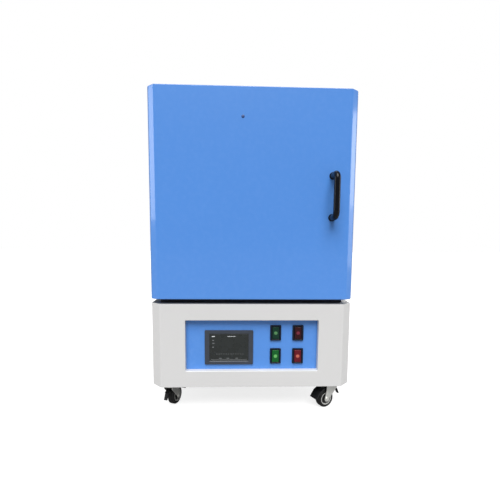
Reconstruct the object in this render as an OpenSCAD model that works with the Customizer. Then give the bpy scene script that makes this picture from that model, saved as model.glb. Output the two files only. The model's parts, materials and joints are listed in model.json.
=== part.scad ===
// Floor-standing box furnace: a blue double-walled furnace body with a side-hung
// door on a white control cabinet that rolls on four swivel casters.
// Millimetres, Z up. The front faces -Y and the floor is Z = 0.

/* [Cabinet] */
// Width of the furnace body, the door and the base
body_w = 800; // [760:10:1000]
// Depth of the base, front face to rear face
body_d = 800; // [780:10:1100]
// Height of the white base cabinet
base_h = 335; // [320:5:450]
// Height of the dark plinth between the base and the furnace body
plinth_h = 17; // [12:1:40]
// Height of the blue furnace body and its door
box_h = 800; // [780:10:1000]
// Thickness of the outer sheet metal
sheet = 2; // [1.5:0.5:3]
// Cut of the base's two vertical front edges
base_cut = 40; // [20:1:60]
// Corner radius of the outer casing's rear edges, seen from above
casing_r = 8; // [4:1:20]

/* [Door] */
// Distance of the door's face behind the base's face
door_setback = 9; // [0:1:20]
// Thickness of the door
door_t = 80; // [70:1:100]
// Cut of the door's vertical front edges, across the face
door_cut_w = 29; // [15:1:45]
// Cut of the door's vertical front edges, into the depth
door_cut_d = 21; // [12:1:35]
// Space between the door and the front frame
door_gap = 8; // [7.5:0.1:9]
// Thickness of the insulating board inside the door
board_t = 50; // [30:1:60]
// How far the front frame is narrower than the door, on each side
frame_inset = 26; // [24:1:30]
// Depth of the front frame, from its face to the outer casing
frame_d = 55; // [50:1:80]
// Diameter of the small plug in the door's face
plug_hole_d = 12; // [8:1:16]
// Distance of that plug left of the middle
plug_hole_x = 41; // [0:1:120]
// Distance of that plug below the door's top edge
plug_hole_drop = 109; // [60:1:200]

/* [Hinges] */
// Number of lift-off hinges
hinge_n = 3; // [2:1:3]
// Radius of a hinge knuckle
knuckle_r = 9; // [8:0.5:10]
// Radius of a hinge pin
pin_r = 5; // [4:0.5:6]
// Running clearance of a pin in the door's knuckle
pin_clear = 0.05; // [0.02:0.01:0.09]
// Height of one hinge, both knuckles
hinge_h = 90; // [70:5:120]
// Thickness of a hinge leaf
leaf_t = 3; // [2:0.5:4]
// Width of a hinge leaf
leaf_w = 32; // [28:1:34]
// Distance of the outer hinges from the door's ends
hinge_end = 110; // [80:5:200]

/* [Handle] */
// Radius of the grip bar
grip_r = 12; // [9:0.5:14]
// Distance between the middles of the handle's two feet
handle_span = 158; // [120:1:220]
// Distance of the bar's middle line from the door
handle_standoff = 60; // [50:1:80]
// Bend radius of the bar's middle line
handle_bend = 22; // [18:1:40]
// Radius of a handle foot
foot_r = 14.5; // [14.5:0.5:18]
// Thickness of a handle foot
foot_t = 5; // [3:0.5:8]
// Distance of the handle from the door's right side
handle_inset = 95; // [60:1:150]

/* [Chamber] */
// Width of the heating chamber
ch_w = 340; // [300:5:380]
// Height of the heating chamber, from its floor board to its roof
ch_h = 350; // [300:5:370]
// Depth of the heating chamber behind the mouth ring
ch_d = 400; // [360:5:420]
// Thickness of the floor lining
floor_t = 150; // [120:5:170]
// Thickness of the roof lining
roof_t = 120; // [100:5:130]
// Depth of the mouth ring
mouth_t = 60; // [60:1:80]
// Thickness of the hearth plate
hearth_t = 15; // [10:1:20]
// Air space between the two walls, at the sides
air_gap = 40; // [30:1:50]
// Air space under the inner casing
floor_gap = 30; // [20:1:40]
// Air space behind the inner casing
rear_gap = 45; // [40:1:60]
// Thickness of the inner casing
inner_sheet = 1.5; // [1:0.5:2]
// Clearance of the door plug's first step in the mouth
plug_clear = 6; // [5:0.5:9]
// How much smaller the plug's second step is, on each side
plug_step = 8; // [5:1:12]
// Depth of each plug step inside the mouth
plug_d = 28; // [20:1:29]

/* [Heating elements] */
// Elements along each side wall
element_n = 3; // [2:1:3]
// Distance between the two legs of an element
element_span = 50; // [44:1:60]
// Radius of the hot legs
hot_r = 4.5; // [3:0.5:5]
// Radius of the terminals
term_r = 9; // [7:0.5:10]
// Distance of the elements from the side walls
element_inset = 25; // [20:1:35]
// Height of the terminals above the roof lining
term_out = 70; // [60:1:90]
// Distance of an element's bend above the hearth plate
element_lift = 25; // [15:1:60]

/* [Control panel] */
// Width of the window in the base's face
win_w = 526; // [520:2:560]
// Height of the window
win_h = 204; // [196:2:220]
// Height of the window's lower edge above the base's lower edge
win_z = 66; // [60:1:90]
// Depth of the recessed panel behind the base's face
panel_deep = 25; // [15:1:40]
// Width of the touch screen's frame
screen_w = 194; // [180:1:210]
// Height of the touch screen's frame
screen_h = 140; // [130:1:150]
// Distance of the screen's middle left of the middle
screen_x = 92; // [88:1:110]
// Thickness of the screen's frame in front of the panel
screen_t = 6; // [4:1:10]
// Width of a push button's frame
button_w = 44; // [40:1:48]
// Height of a push button's frame
button_h = 62; // [56:1:66]
// Distance between the button columns
button_pitch_x = 90; // [80:1:100]
// Distance between the button rows
button_pitch_z = 95; // [85:1:100]
// Width of a push button's lens
lens_w = 27; // [24:0.5:28]
// Height of a push button's lens
lens_h = 49; // [42:0.5:49]
// Distance of the left button column right of the middle
button_x = 95; // [90:1:110]
// Travel of a push button
button_travel = 4; // [3:0.5:5]
// Thickness of a button's frame in front of the panel
button_t = 7; // [6:0.5:10]

/* [Casters] */
// Height of a caster, floor to mounting plate
caster_h = 105; // [103:1:110]
// Diameter of a wheel
wheel_d = 75; // [70:1:76]
// Width of a tyre
tyre_w = 30; // [26:1:32]
// Distance of the wheel's axle from the swivel axis
trail = 30; // [25:1:34]
// Distance of the swivel axes from the base's sides
caster_in_x = 67; // [64:1:100]
// Distance of the swivel axes from the base's front and rear
caster_in_y = 60; // [58:1:100]
// Side of the square mounting plate
plate_w = 78; // [74:1:80]
// Turn of the front left caster, from straight ahead
turn_fl = 160; // [-180:5:180]
// Turn of the front right caster, from straight ahead
turn_fr = -65; // [-180:5:180]
// Turn of the rear left caster, from straight ahead
turn_rl = 150; // [-180:5:180]
// Turn of the rear right caster, from straight ahead
turn_rr = -160; // [-180:5:180]

/* [Rear] */
// Side of the square cooling fan
fan_w = 120; // [110:5:130]
// Thickness of the fan
fan_t = 38; // [25:1:38]
// Height of the fan's middle above the furnace body's lower edge
fan_z = 190; // [150:5:300]
// How far the cable gland stands out at the rear
gland_out = 24; // [18:1:40]
// Radius of the cable's way through the gland
gland_bore_r = 8; // [6:0.5:9]

/* [Hidden] */
$fn = 64;

// Small gap between pieces that stand beside each other
fit = 0.3;
// Mating clearance behind a knuckle, so that it turns free of the frame
knuckle_clear = 0.2;

// Heights
z_base = caster_h;
z_top = z_base + base_h;
z_box = z_top + plinth_h;
z_roof = z_box + box_h;

// Depths. The handle stands out in front and the gland behind: y_mid centres the two.
handle_reach = handle_standoff + grip_r;
y_mid = (handle_reach - door_setback - gland_out) / 2;
y_front = -body_d / 2 + y_mid;
y_rear = body_d / 2 + y_mid;
y_door = y_front + door_setback;
y_door_rear = y_door + door_t;
y_frame = y_door_rear + door_gap;
y_casing = y_frame + frame_d;

// Front frame and inner casing
frame_plate = 3;
frame_half = body_w / 2 - frame_inset;
inner_half = body_w / 2 - sheet - air_gap;
z_inner = z_box + sheet + floor_gap;
z_floor = z_inner + inner_sheet + floor_t;
z_mouth = z_floor + hearth_t;
z_ceiling = z_floor + ch_h;
z_lining = z_ceiling + roof_t;
y_mouth = y_frame + frame_plate;
y_chamber = y_mouth + mouth_t;
y_back = y_chamber + ch_d;
y_inner = y_rear - sheet - rear_gap;
lining_half = inner_half - inner_sheet;
mouth_lip = 10;
seal_in = mouth_lip + 4;
seal_w = 16;

// Hinge axis, beside the front frame and just behind the door
hinge_x = -(frame_half + knuckle_r + knuckle_clear);
hinge_y = y_door_rear + knuckle_r + knuckle_clear;
hinge_step = (box_h - 2 * hinge_end - hinge_h) / (hinge_n - 1);
hinge_zs = [for (i = [0 : hinge_n - 1]) z_box + hinge_end + i * hinge_step];

// Handle
handle_x = body_w / 2 - handle_inset;
handle_z = z_box + box_h / 2;

// Elements: two rows, one along each side wall
element_x = ch_w / 2 - element_inset;
element_pitch = ch_d / element_n;
element_ys = [for (i = [0 : element_n - 1]) y_chamber + (i + 0.5) * element_pitch];
element_low = z_mouth + element_lift;
clamp_h = 22;
clamp_gap = 0.1;
strap_t = 4;

// Control panel
win_low = z_base + win_z;
win_mid = win_low + win_h / 2;
y_panel = y_front + panel_deep;
panel_t = 3;
panel_lap = 12;
screen_mid = win_mid - 12;
screen_border = 19;
screen_low_border = 15;
screen_body_d = 34;
button_mid = win_mid;
button_rim = 5;
button_body_d = 40;
button_proud = 3;
win_corner = 4;
button_cols = [button_x, button_x + button_pitch_x];
button_rows = [button_mid + button_pitch_z / 2, button_mid - button_pitch_z / 2];

// Casters
caster_x = body_w / 2 - caster_in_x;
caster_front = y_front + caster_in_y;
caster_rear = y_rear - caster_in_y;
plate_t = 3;
race_r = 27;
race_h = 7;
cheek_t = 2.5;
cheek_gap = 2;
axle_r = 5;
axle_clear = 0.05;
rivet_r = 6;
wheel_r = wheel_d / 2;
rim_r = 0.7 * wheel_r;
fork_top = caster_h - plate_t - race_h;
crown_t = 6;
fork_lead = 22;
cheek_in = tyre_w / 2 + cheek_gap;
pedal_pin_r = 3;
pedal_pin_x = trail - 6;
pedal_pin_z = fork_top - crown_t - 7;
pedal_hub_r = pedal_pin_r + 2;

// Each caster's place and turn
caster_spots = [
    [-caster_x, caster_front, turn_fl], [caster_x, caster_front, turn_fr],
    [-caster_x, caster_rear, turn_rl], [caster_x, caster_rear, turn_rr]];

// Base frame and what stands on the base and in it
rail = 30;
pan_t = 3;
pad_border = 3;
z_pan = z_base + rail + pan_t;
plinth_in = 32;
plinth_in_front = 60;
transformer_in = 230;
transformer_back = 110;
controller_in = 120;
controller_back = 20;

// Door board and thermocouple
board_in = 70;
thermo_r = 5;
thermo_drop = 60;
thermo_z = z_ceiling - thermo_drop;
thermo_in = 60;

// Vents
vent_w = 120;
vent_h = 6;
vent_pitch = 3 * vent_h;
vent_end = 70;
side_vent_n = 8;
side_vent_ys = [for (share = [0.3, 0.7]) y_casing + share * (y_rear - y_casing)];
top_vent_n = 10;
top_vent_pitch = 6 * vent_h;
rear_vent_n = 7;
rear_vent_x = 180;
rear_vent_drop = 200;
base_vent_n = 9;
base_vent_step = 156;
base_vent_z = 127;

// Rear panels and what they carry
screw_r = 5;
screw_l = 8;
flange = 22;
screw_end = 20;
base_screws = 3;
box_screws = 5;
base_screw_pitch = (z_top - z_pan - 2 * screw_end) / (base_screws - 1);
box_screw_pitch = (box_h - 2 * flange - 4) / (box_screws - 1);
base_screw_spots = [for (x = [-1, 1], i = [0 : base_screws - 1])
    [x * (body_w - flange) / 2, z_pan + screw_end + i * base_screw_pitch]];
box_screw_spots = [for (x = [-1, 1], i = [0 : box_screws - 1])
    [x * (body_w - flange - 4) / 2, z_box + flange + 2 + i * box_screw_pitch]];
gland_in = 110;
gland_up = 75;
gland_x = -body_w / 2 + gland_in;
gland_z = z_base + gland_up;
gland_thread_r = 12;
fan_mid_z = z_box + fan_z;
fan_y = y_rear - sheet - fan_t;
fan_open_r = fan_w / 2 - 3;
fan_base_t = 4;
fan_shaft_r = 3;

paint_blue = "#5b93e6";
paint_white = "#dcdedf";
paint_grey = "#5f6064";
steel = "#b9bcc0";
zinc = "#c4c6c8";
black = "#1d1f22";
fibre = "#f1eee6";

// Box from two corners
module span(low, high) {
    translate(low) cube(high - low);
}

// Rectangle with round corners, around the origin
module round_rect(w, h, r) {
    square([w - 2 * r, h], center = true);
    square([w, h - 2 * r], center = true);
    for (x = [-1, 1], y = [-1, 1])
        translate([x * (w / 2 - r), y * (h / 2 - r)]) circle(r);
}

// Slot with round ends along X, around the origin
module slot(w, h) {
    square([w - h, h], center = true);
    for (x = [-1, 1]) translate([x * (w - h) / 2, 0]) circle(h / 2);
}

// Profile drawn in X and Z, made a plate from y to y + t
module plate_y(y, t) {
    translate([0, y + t, 0]) rotate([90, 0, 0]) linear_extrude(t) children();
}

// Length left of a corner cut on the inside of a sheet of thickness t
function inner_cut(cut, other, t) =
    cut * (1 + t * norm([cut, other]) / (cut * other) - t / other);

// Plan of a front with two cut corners, from y = 0 back to y = d
module cut_plan(w, d, cut_w, cut_d) {
    polygon([[-w / 2, d], [-w / 2, cut_d], [-w / 2 + cut_w, 0],
        [w / 2 - cut_w, 0], [w / 2, cut_d], [w / 2, d]]);
}

// The same plan on the inside of the sheet, open at the back
module cut_plan_inside(w, d, cut_w, cut_d, t) {
    translate([0, t])
        cut_plan(w - 2 * t, d, inner_cut(cut_w, cut_d, t) - t, inner_cut(cut_d, cut_w, t) - t);
}

// Base cabinet

module window_hole(grow, y, t) {
    plate_y(y, t) translate([0, win_mid])
        round_rect(win_w + 2 * grow, win_h + 2 * grow, win_corner + grow);
}

module base_shell() {
    color(paint_white) difference() {
        union() {
            difference() {
                translate([0, y_front, z_base]) linear_extrude(base_h)
                    cut_plan(body_w, body_d - sheet, base_cut, base_cut);
                translate([0, y_front, z_base - 1]) linear_extrude(base_h + 2)
                    cut_plan_inside(body_w, body_d, base_cut, base_cut, sheet);
            }
            window_hole(sheet, y_front, panel_deep);
            for (s = [-1, 1])
                translate([s * (body_w - flange) / 2, y_rear - 1.5 * sheet, z_base + base_h / 2])
                    cube([flange, sheet, base_h], center = true);
        }
        window_hole(0, y_front - 1, panel_deep + 2);
        rear_screw_holes(base_screw_spots);
    }
}

// Holes of the screws that hold a rear panel to the flanges
module rear_screw_holes(spots) {
    for (p = spots) translate([p[0], y_rear - screw_l - 1, p[1]]) rotate([-90, 0, 0])
        cylinder(r = screw_r / 2, h = screw_l + 2);
}

// Plan of the base's inside, up to the rear flanges and clear of the sheet by a gap
module base_inside(gap) {
    inset = sheet + gap;
    cut_plan_inside(body_w, body_d - 2 * sheet - gap - inset, base_cut, base_cut, inset);
}

// Rails round the floor, with a block over each caster
module base_frame() {
    open_w = body_w - 2 * (sheet + fit + rail);
    open_d = body_d - 3 * sheet - 2 * (fit + rail);
    pad = plate_w + 2 * pad_border;
    color(steel) translate([0, 0, z_base]) linear_extrude(rail) {
        translate([0, y_front]) difference() {
            base_inside(fit);
            translate([-open_w / 2, sheet + fit + rail]) square([open_w, open_d]);
        }
        intersection() {
            translate([0, y_front]) base_inside(fit);
            for (c = caster_spots) translate([c[0], c[1]]) square(pad, center = true);
        }
    }
}

module base_floor() {
    color(steel) translate([0, y_front, z_base + rail]) linear_extrude(pan_t) base_inside(fit);
}

module base_top() {
    color(paint_grey) translate([0, y_front, z_top - sheet]) linear_extrude(sheet) base_inside(0);
}

// Column of n vent slots, upwards from z
module vent_column(x, z, n) {
    for (i = [0 : n - 1]) translate([x, z + i * vent_pitch]) slot(vent_w, vent_h);
}

module base_rear_panel() {
    color(paint_white) difference() {
        plate_y(y_rear - sheet, sheet) difference() {
            translate([-body_w / 2, z_base]) square([body_w, base_h]);
            for (x = [-1, 0, 1]) vent_column(x * base_vent_step, z_base + base_vent_z, base_vent_n);
            translate([gland_x, gland_z]) circle(gland_thread_r);
        }
        rear_screw_holes(base_screw_spots);
    }
}

module cable_gland() {
    nut_r = 19;
    nut_t = 8;
    inner_end = nut_t + sheet + 1;
    color(black) difference() {
        translate([gland_x, y_rear, gland_z]) rotate([-90, 0, 0]) union() {
            translate([0, 0, -nut_t - sheet]) cylinder(r = nut_r - 2, h = nut_t, $fn = 6);
            translate([0, 0, -sheet - 0.01]) cylinder(r = gland_thread_r - 0.05, h = sheet + 0.02);
            cylinder(r = nut_r, h = nut_t, $fn = 6);
            translate([0, 0, nut_t]) cylinder(r = nut_r - 3, h = (gland_out - nut_t) / 2);
            translate([0, 0, nut_t + (gland_out - nut_t) / 2])
                cylinder(r1 = nut_r - 3, r2 = gland_bore_r + 3, h = (gland_out - nut_t) / 2);
        }
        translate([gland_x, y_rear - inner_end, gland_z]) rotate([-90, 0, 0])
            cylinder(r = gland_bore_r, h = inner_end + gland_out + 1);
    }
}

module plinth() {
    bar = 30;
    half = body_w / 2 - plinth_in;
    front = y_front + plinth_in_front;
    rear = y_rear - plinth_in;
    color(black) difference() {
        span([-half, front, z_top], [half, rear, z_box]);
        span([-half + bar, front + bar, z_top - 1], [half - bar, rear - bar, z_box + 1]);
    }
}

// Control panel

module control_panel() {
    color(paint_blue) plate_y(y_panel, panel_t) difference() {
        translate([0, win_mid]) square([win_w + 2 * panel_lap, win_h + 2 * panel_lap], center = true);
        translate([-screen_x, screen_mid])
            square([screen_w - 2 * screen_border, screen_h - 2 * screen_border], center = true);
        for (x = button_cols, z = button_rows) translate([x, z])
            square([button_w - 2 * button_rim, button_h - 2 * button_rim], center = true);
    }
}

module screen_bezel() {
    inner_w = screen_w - 2 * screen_border;
    inner_h = screen_h - 2 * screen_low_border;
    color("#47484c") difference() {
        union() {
            plate_y(y_panel - screen_t, screen_t) translate([-screen_x, screen_mid])
                round_rect(screen_w, screen_h, 4);
            plate_y(y_panel, screen_body_d) translate([-screen_x, screen_mid])
                square([inner_w - fit, screen_h - 2 * screen_border - fit], center = true);
        }
        plate_y(y_panel - screen_t - 1, screen_t / 2 + 1) translate([-screen_x, screen_mid])
            round_rect(inner_w, inner_h, 2);
    }
}

module screen_glass() {
    color("#303236") plate_y(y_panel - screen_t + 1, screen_t / 2 - 1) translate([-screen_x, screen_mid])
        round_rect(screen_w - 2 * screen_border - fit, screen_h - 2 * screen_low_border - fit, 2);
}

module button_frames() {
    color(black) for (x = button_cols, z = button_rows) difference() {
        union() {
            plate_y(y_panel - button_t, button_t) translate([x, z]) round_rect(button_w, button_h, 3);
            plate_y(y_panel, button_body_d) translate([x, z])
                square([button_w - 2 * button_rim - fit, button_h - 2 * button_rim - fit], center = true);
        }
        plate_y(y_panel - button_t - 1, button_t + 1 + button_body_d / 2) translate([x, z])
            round_rect(lens_w + 2 * fit, lens_h + 2 * fit, 2);
    }
}

// Lens with a domed face and a short stem in the frame
module push_button(x, z, tint) {
    face = y_panel - button_t - button_proud;
    dome = 2.2 * lens_h;
    depth = button_t + button_proud + button_body_d / 2 - button_travel - 1;
    color(tint) intersection() {
        plate_y(face, depth) translate([x, z]) round_rect(lens_w, lens_h, 2);
        translate([x, face + dome, z]) rotate([0, 90, 0])
            cylinder(r = dome, h = 2 * lens_w, center = true, $fn = 128);
    }
}

module green_button_upper() { push_button(button_cols[0], button_rows[0], "#1f9a55"); }
module red_button_upper() { push_button(button_cols[1], button_rows[0], "#c02a2a"); }
module green_button_lower() { push_button(button_cols[0], button_rows[1], "#1f9a55"); }
module red_button_lower() { push_button(button_cols[1], button_rows[1], "#c02a2a"); }

// Power parts in the base

// Laminated core with a winding round its middle leg
module transformer() {
    core_w = 210;
    core_h = 180;
    core_t = 80;
    leg = 38;
    coil_out = 25;
    coil_r = 16;
    coil_gap = 4;
    win = (core_w - 3 * leg) / 2;
    translate([body_w / 2 - transformer_in, y_mid + transformer_back, z_pan]) {
        color("#4a4d50") difference() {
            translate([-core_w / 2, -core_t / 2, 0]) cube([core_w, core_t, core_h]);
            for (s = [-1, 1]) translate([s * (leg + win) / 2 - win / 2, -core_t, leg])
                cube([win, 2 * core_t, core_h - 2 * leg]);
        }
        color("#a9743c") translate([0, 0, leg + coil_gap]) linear_extrude(core_h - 2 * (leg + coil_gap))
            difference() {
                round_rect(leg + 2 * (win - coil_gap), core_t + 2 * coil_out, coil_r);
                square([leg + 2 * fit, core_t + 2 * fit], center = true);
            }
    }
}

// Heat sink with upright fins and the controller's case on top of them
module power_controller() {
    w = 150;
    d = 120;
    fins = 14;
    fin_t = 3;
    fin_h = 45;
    plate = 12;
    case_in = [20, 15];
    case_h = 55;
    color("#9a9da1") translate([-body_w / 2 + controller_in, y_mid + controller_back, z_pan]) {
        cube([w, d, plate]);
        for (i = [0 : fins - 1])
            translate([i * (w - fin_t) / (fins - 1), 0, plate]) cube([fin_t, d, fin_h]);
        translate([case_in[0], case_in[1], plate + fin_h])
            cube([w - 2 * case_in[0], d - 2 * case_in[1], case_h]);
    }
}

// Furnace body

// Plan of the outer casing, t inside its outer face: square at the front, round at the
// two rear corners
module casing_plan(t) {
    r = casing_r;
    front = y_casing + t;
    end = y_rear - sheet;
    translate([-body_w / 2 + t, front]) square([body_w - 2 * t, end - r - front]);
    translate([-body_w / 2 + r, front]) square([body_w - 2 * r, end - t - front]);
    for (s = [-1, 1]) translate([s * (body_w / 2 - r), end - r]) circle(r - t);
}

// Slots through both sides, two columns low and two high
module side_vents() {
    high = z_roof - vent_end - (side_vent_n - 1) * vent_pitch;
    for (y = side_vent_ys, z = [z_box + vent_end, high])
        translate([-body_w, y, 0]) rotate([90, 0, 90]) linear_extrude(2 * body_w)
            vent_column(0, z, side_vent_n);
}

module outer_casing() {
    color(paint_blue) difference() {
        translate([0, 0, z_box]) linear_extrude(box_h - sheet) casing_plan(0);
        translate([0, 0, z_box + sheet]) linear_extrude(box_h) casing_plan(sheet);
        span([-frame_half - fit, y_casing - 1, z_box + frame_inset - fit],
            [frame_half + fit, y_casing + sheet + 1, z_roof - frame_inset + fit]);
        span([-body_w / 2 + flange, y_rear - 3 * sheet, z_box + flange],
            [body_w / 2 - flange, y_rear, z_roof]);
        side_vents();
        rear_screw_holes(box_screw_spots);
    }
}

// Lid with a skirt inside the casing and vent slots over the terminals
module top_cover() {
    skirt = 16;
    in_x = body_w / 2 - sheet - fit;
    in_front = y_casing + sheet + fit;
    in_rear = y_rear - sheet - casing_r;
    under = z_roof - sheet;
    color(paint_blue) difference() {
        union() {
            translate([0, 0, under]) linear_extrude(sheet) casing_plan(0);
            span([-in_x, in_front, under - skirt], [in_x, in_rear, under]);
        }
        span([-in_x + sheet, in_front + sheet, under - skirt - 1], [in_x - sheet, in_rear - sheet, under]);
        for (s = [-1, 1], i = [0 : top_vent_n - 1])
            translate([s * element_x, y_chamber + i * top_vent_pitch, under - 1])
                linear_extrude(sheet + 2) slot(vent_w, vent_h);
    }
}

module rear_cover() {
    color(paint_blue) difference() {
        plate_y(y_rear - sheet, sheet) difference() {
            translate([0, z_box + box_h / 2])
                square([body_w - 2 * casing_r, box_h - 2 * sheet], center = true);
            translate([0, fan_mid_z]) circle(fan_open_r);
            for (x = [-1, 1]) vent_column(x * rear_vent_x, z_roof - rear_vent_drop, rear_vent_n);
        }
        rear_screw_holes(box_screw_spots);
    }
}

// Screws of the two rear panels: round heads outside, shanks in the panels' holes
module cover_screws() {
    head_r = screw_r;
    head_t = 2.5;
    color(zinc) for (p = concat(box_screw_spots, base_screw_spots))
        translate([p[0], y_rear, p[1]]) rotate([-90, 0, 0]) {
            intersection() {
                cylinder(r = head_r, h = head_t);
                translate([0, 0, head_t - 1.6 * head_r]) sphere(1.6 * head_r);
            }
            translate([0, 0, -screw_l]) cylinder(r = screw_r / 2 - 0.02, h = screw_l);
        }
}

module inner_casing() {
    foot_w = 40;
    foot_in = 20;
    thermo_hole = 10;
    color(steel) {
        difference() {
            span([-inner_half, y_mouth, z_inner], [inner_half, y_inner, z_lining]);
            span([-lining_half, y_mouth - 1, z_inner + inner_sheet],
                [lining_half, y_inner - inner_sheet, z_lining + 1]);
            translate([0, y_inner, thermo_z]) rotate([-90, 0, 0])
                cylinder(r = thermo_r + 1, h = thermo_hole, center = true);
        }
        for (s = [-1, 1]) span([s * inner_half / 2 - foot_w / 2, y_casing + foot_in, z_box + sheet],
            [s * inner_half / 2 + foot_w / 2, y_inner - foot_in, z_inner]);
    }
}

// Front frame: a face plate with the mouth's opening and a neck back to the casing
module front_frame() {
    half = frame_half;
    low = z_box + frame_inset;
    high = z_roof - frame_inset;
    open = ch_w / 2 + mouth_lip;
    color(steel) difference() {
        span([-half, y_frame, low], [half, y_casing + sheet, high]);
        span([-half + frame_plate, y_mouth, low + frame_plate],
            [half - frame_plate, y_casing + sheet + 1, high - frame_plate]);
        span([-open, y_frame - 1, z_mouth - mouth_lip], [open, y_mouth + 1, z_ceiling + mouth_lip]);
    }
}

// Lining

module mouth_lining() {
    open = ch_w / 2;
    lip = open + mouth_lip - fit;
    color(fibre) difference() {
        union() {
            span([-lining_half, y_mouth, z_inner + inner_sheet], [lining_half, y_chamber, z_lining]);
            span([-lip, y_frame, z_mouth - mouth_lip + fit],
                [lip, y_mouth, z_ceiling + mouth_lip - fit]);
        }
        span([-open, y_frame - 1, z_mouth], [open, y_chamber + 1, z_ceiling]);
    }
}

module floor_lining() {
    color(fibre) span([-lining_half, y_chamber, z_inner + inner_sheet],
        [lining_half, y_inner - inner_sheet, z_floor]);
}

module side_linings() {
    color(fibre) for (s = [-1, 1]) span([s > 0 ? ch_w / 2 : -lining_half, y_chamber, z_floor],
        [s > 0 ? lining_half : -ch_w / 2, y_inner - inner_sheet, z_ceiling]);
}

module back_lining() {
    color(fibre) difference() {
        span([-ch_w / 2, y_back, z_floor], [ch_w / 2, y_inner - inner_sheet, z_ceiling]);
        translate([0, y_back - 1, thermo_z]) rotate([-90, 0, 0])
            cylinder(r = thermo_r + 1, h = y_inner - y_back + 2);
    }
}

module roof_lining() {
    color(fibre) difference() {
        span([-lining_half, y_chamber, z_ceiling], [lining_half, y_inner - inner_sheet, z_lining]);
        for (s = [-1, 1], y = element_ys, e = [-1, 1])
            translate([s * element_x, y + e * element_span / 2, z_ceiling - 1])
                cylinder(r = term_r + 1, h = roof_t + 2);
    }
}

module hearth_plate() {
    edge = 2;
    color("#8d8a84") span([-ch_w / 2 + edge, y_chamber + edge, z_floor],
        [ch_w / 2 - edge, y_back - edge, z_mouth]);
}

// One U-shaped element that hangs through the roof
module element() {
    bend = element_span / 2;
    taper = 20;
    color("#6d6660") {
        for (e = [-1, 1]) translate([0, e * bend, 0]) {
            translate([0, 0, element_low + bend])
                cylinder(r = hot_r, h = z_ceiling - taper - element_low - bend);
            translate([0, 0, z_ceiling - taper]) cylinder(r1 = hot_r, r2 = term_r, h = taper);
            translate([0, 0, z_ceiling]) cylinder(r = term_r, h = roof_t + term_out);
        }
        translate([0, 0, element_low + bend]) rotate([0, 90, 0]) rotate([0, 0, -90])
            rotate_extrude(angle = 180) translate([bend, 0]) circle(hot_r);
    }
}

module heating_elements() {
    for (s = [-1, 1], y = element_ys) translate([s * element_x, y, 0]) element();
}

module element_clamps() {
    w = element_span + 2 * term_r + 16;
    d = 2 * term_r + 14;
    color("#d9d2c2") for (s = [-1, 1], y = element_ys) translate([s * element_x, y, z_lining])
        difference() {
            translate([-d / 2, -w / 2, 0]) cube([d, w, clamp_h]);
            for (e = [-1, 1]) translate([0, e * element_span / 2, -1])
                cylinder(r = term_r + clamp_gap, h = clamp_h + 2);
        }
}

// Straps that join the elements of one side in series, and one across the back
module strap(from, to, z) {
    v = to - from;
    len = norm(v);
    translate([from[0], from[1], z]) rotate([0, 0, atan2(v[1], v[0])]) linear_extrude(strap_t)
        difference() {
            union() {
                translate([0, -term_r]) square([len, 2 * term_r]);
                for (x = [0, len]) translate([x, 0]) circle(term_r + 5);
            }
            for (x = [0, len]) translate([x, 0]) circle(term_r + clamp_gap);
        }
}

module element_straps() {
    z = z_lining + term_out - strap_t - 8;
    half = element_span / 2;
    last = element_ys[element_n - 1] + half;
    color("#c9cbce") {
        for (s = [-1, 1], i = [0 : element_n - 2])
            strap([s * element_x, element_ys[i] + half], [s * element_x, element_ys[i + 1] - half], z);
        strap([-element_x, last], [element_x, last], z);
    }
}

module thermocouple() {
    head_r = 16;
    head_t = 24;
    color("#e2ddd0") translate([0, 0, thermo_z]) {
        translate([0, y_back - thermo_in + thermo_r, 0]) {
            sphere(thermo_r);
            rotate([-90, 0, 0]) cylinder(r = thermo_r, h = y_inner - y_back + thermo_in - thermo_r + 1);
        }
        translate([0, y_inner, 0]) rotate([-90, 0, 0]) cylinder(r = head_r, h = head_t);
    }
}

// Cooling fan on the rear cover

module fan_housing() {
    hub_r = 24;
    strut_w = 6;
    color(black) difference() {
        plate_y(fan_y, fan_t) translate([0, fan_mid_z]) round_rect(fan_w, fan_w, 6);
        translate([0, fan_y + fan_base_t, fan_mid_z]) rotate([-90, 0, 0])
            cylinder(r = fan_open_r, h = fan_t);
        difference() {
            translate([0, fan_y - 1, fan_mid_z]) rotate([-90, 0, 0])
                cylinder(r = fan_open_r, h = fan_t);
            plate_y(fan_y - 2, fan_t) translate([0, fan_mid_z]) {
                circle(hub_r);
                for (a = [45, 135]) rotate(a) square([fan_w, strut_w], center = true);
            }
        }
        translate([0, fan_y - 1, fan_mid_z]) rotate([-90, 0, 0])
            cylinder(r = fan_shaft_r + axle_clear, h = fan_t);
    }
}

module fan_rotor() {
    hub_r = 20;
    blades = 7;
    blade_t = 2.2;
    tilt = 38;
    depth = fan_t - 12;
    y = fan_y + fan_base_t + fit;
    color("#33353a") {
        translate([0, fan_y + 0.5, fan_mid_z]) rotate([-90, 0, 0])
            cylinder(r = fan_shaft_r, h = fan_base_t + 1);
        translate([0, y, fan_mid_z]) rotate([-90, 0, 0]) cylinder(r = hub_r, h = depth);
        intersection() {
            translate([0, y + 1, fan_mid_z]) rotate([-90, 0, 0])
                cylinder(r = fan_w / 2 - 5, h = depth - 2);
            for (i = [0 : blades - 1])
                translate([0, y + depth / 2, fan_mid_z]) rotate([0, i * 360 / blades, 0])
                    rotate([0, 0, tilt]) translate([-blade_t / 2, -depth, hub_r - 3])
                        cube([blade_t, 2 * depth, fan_w / 2]);
        }
    }
}

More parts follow.
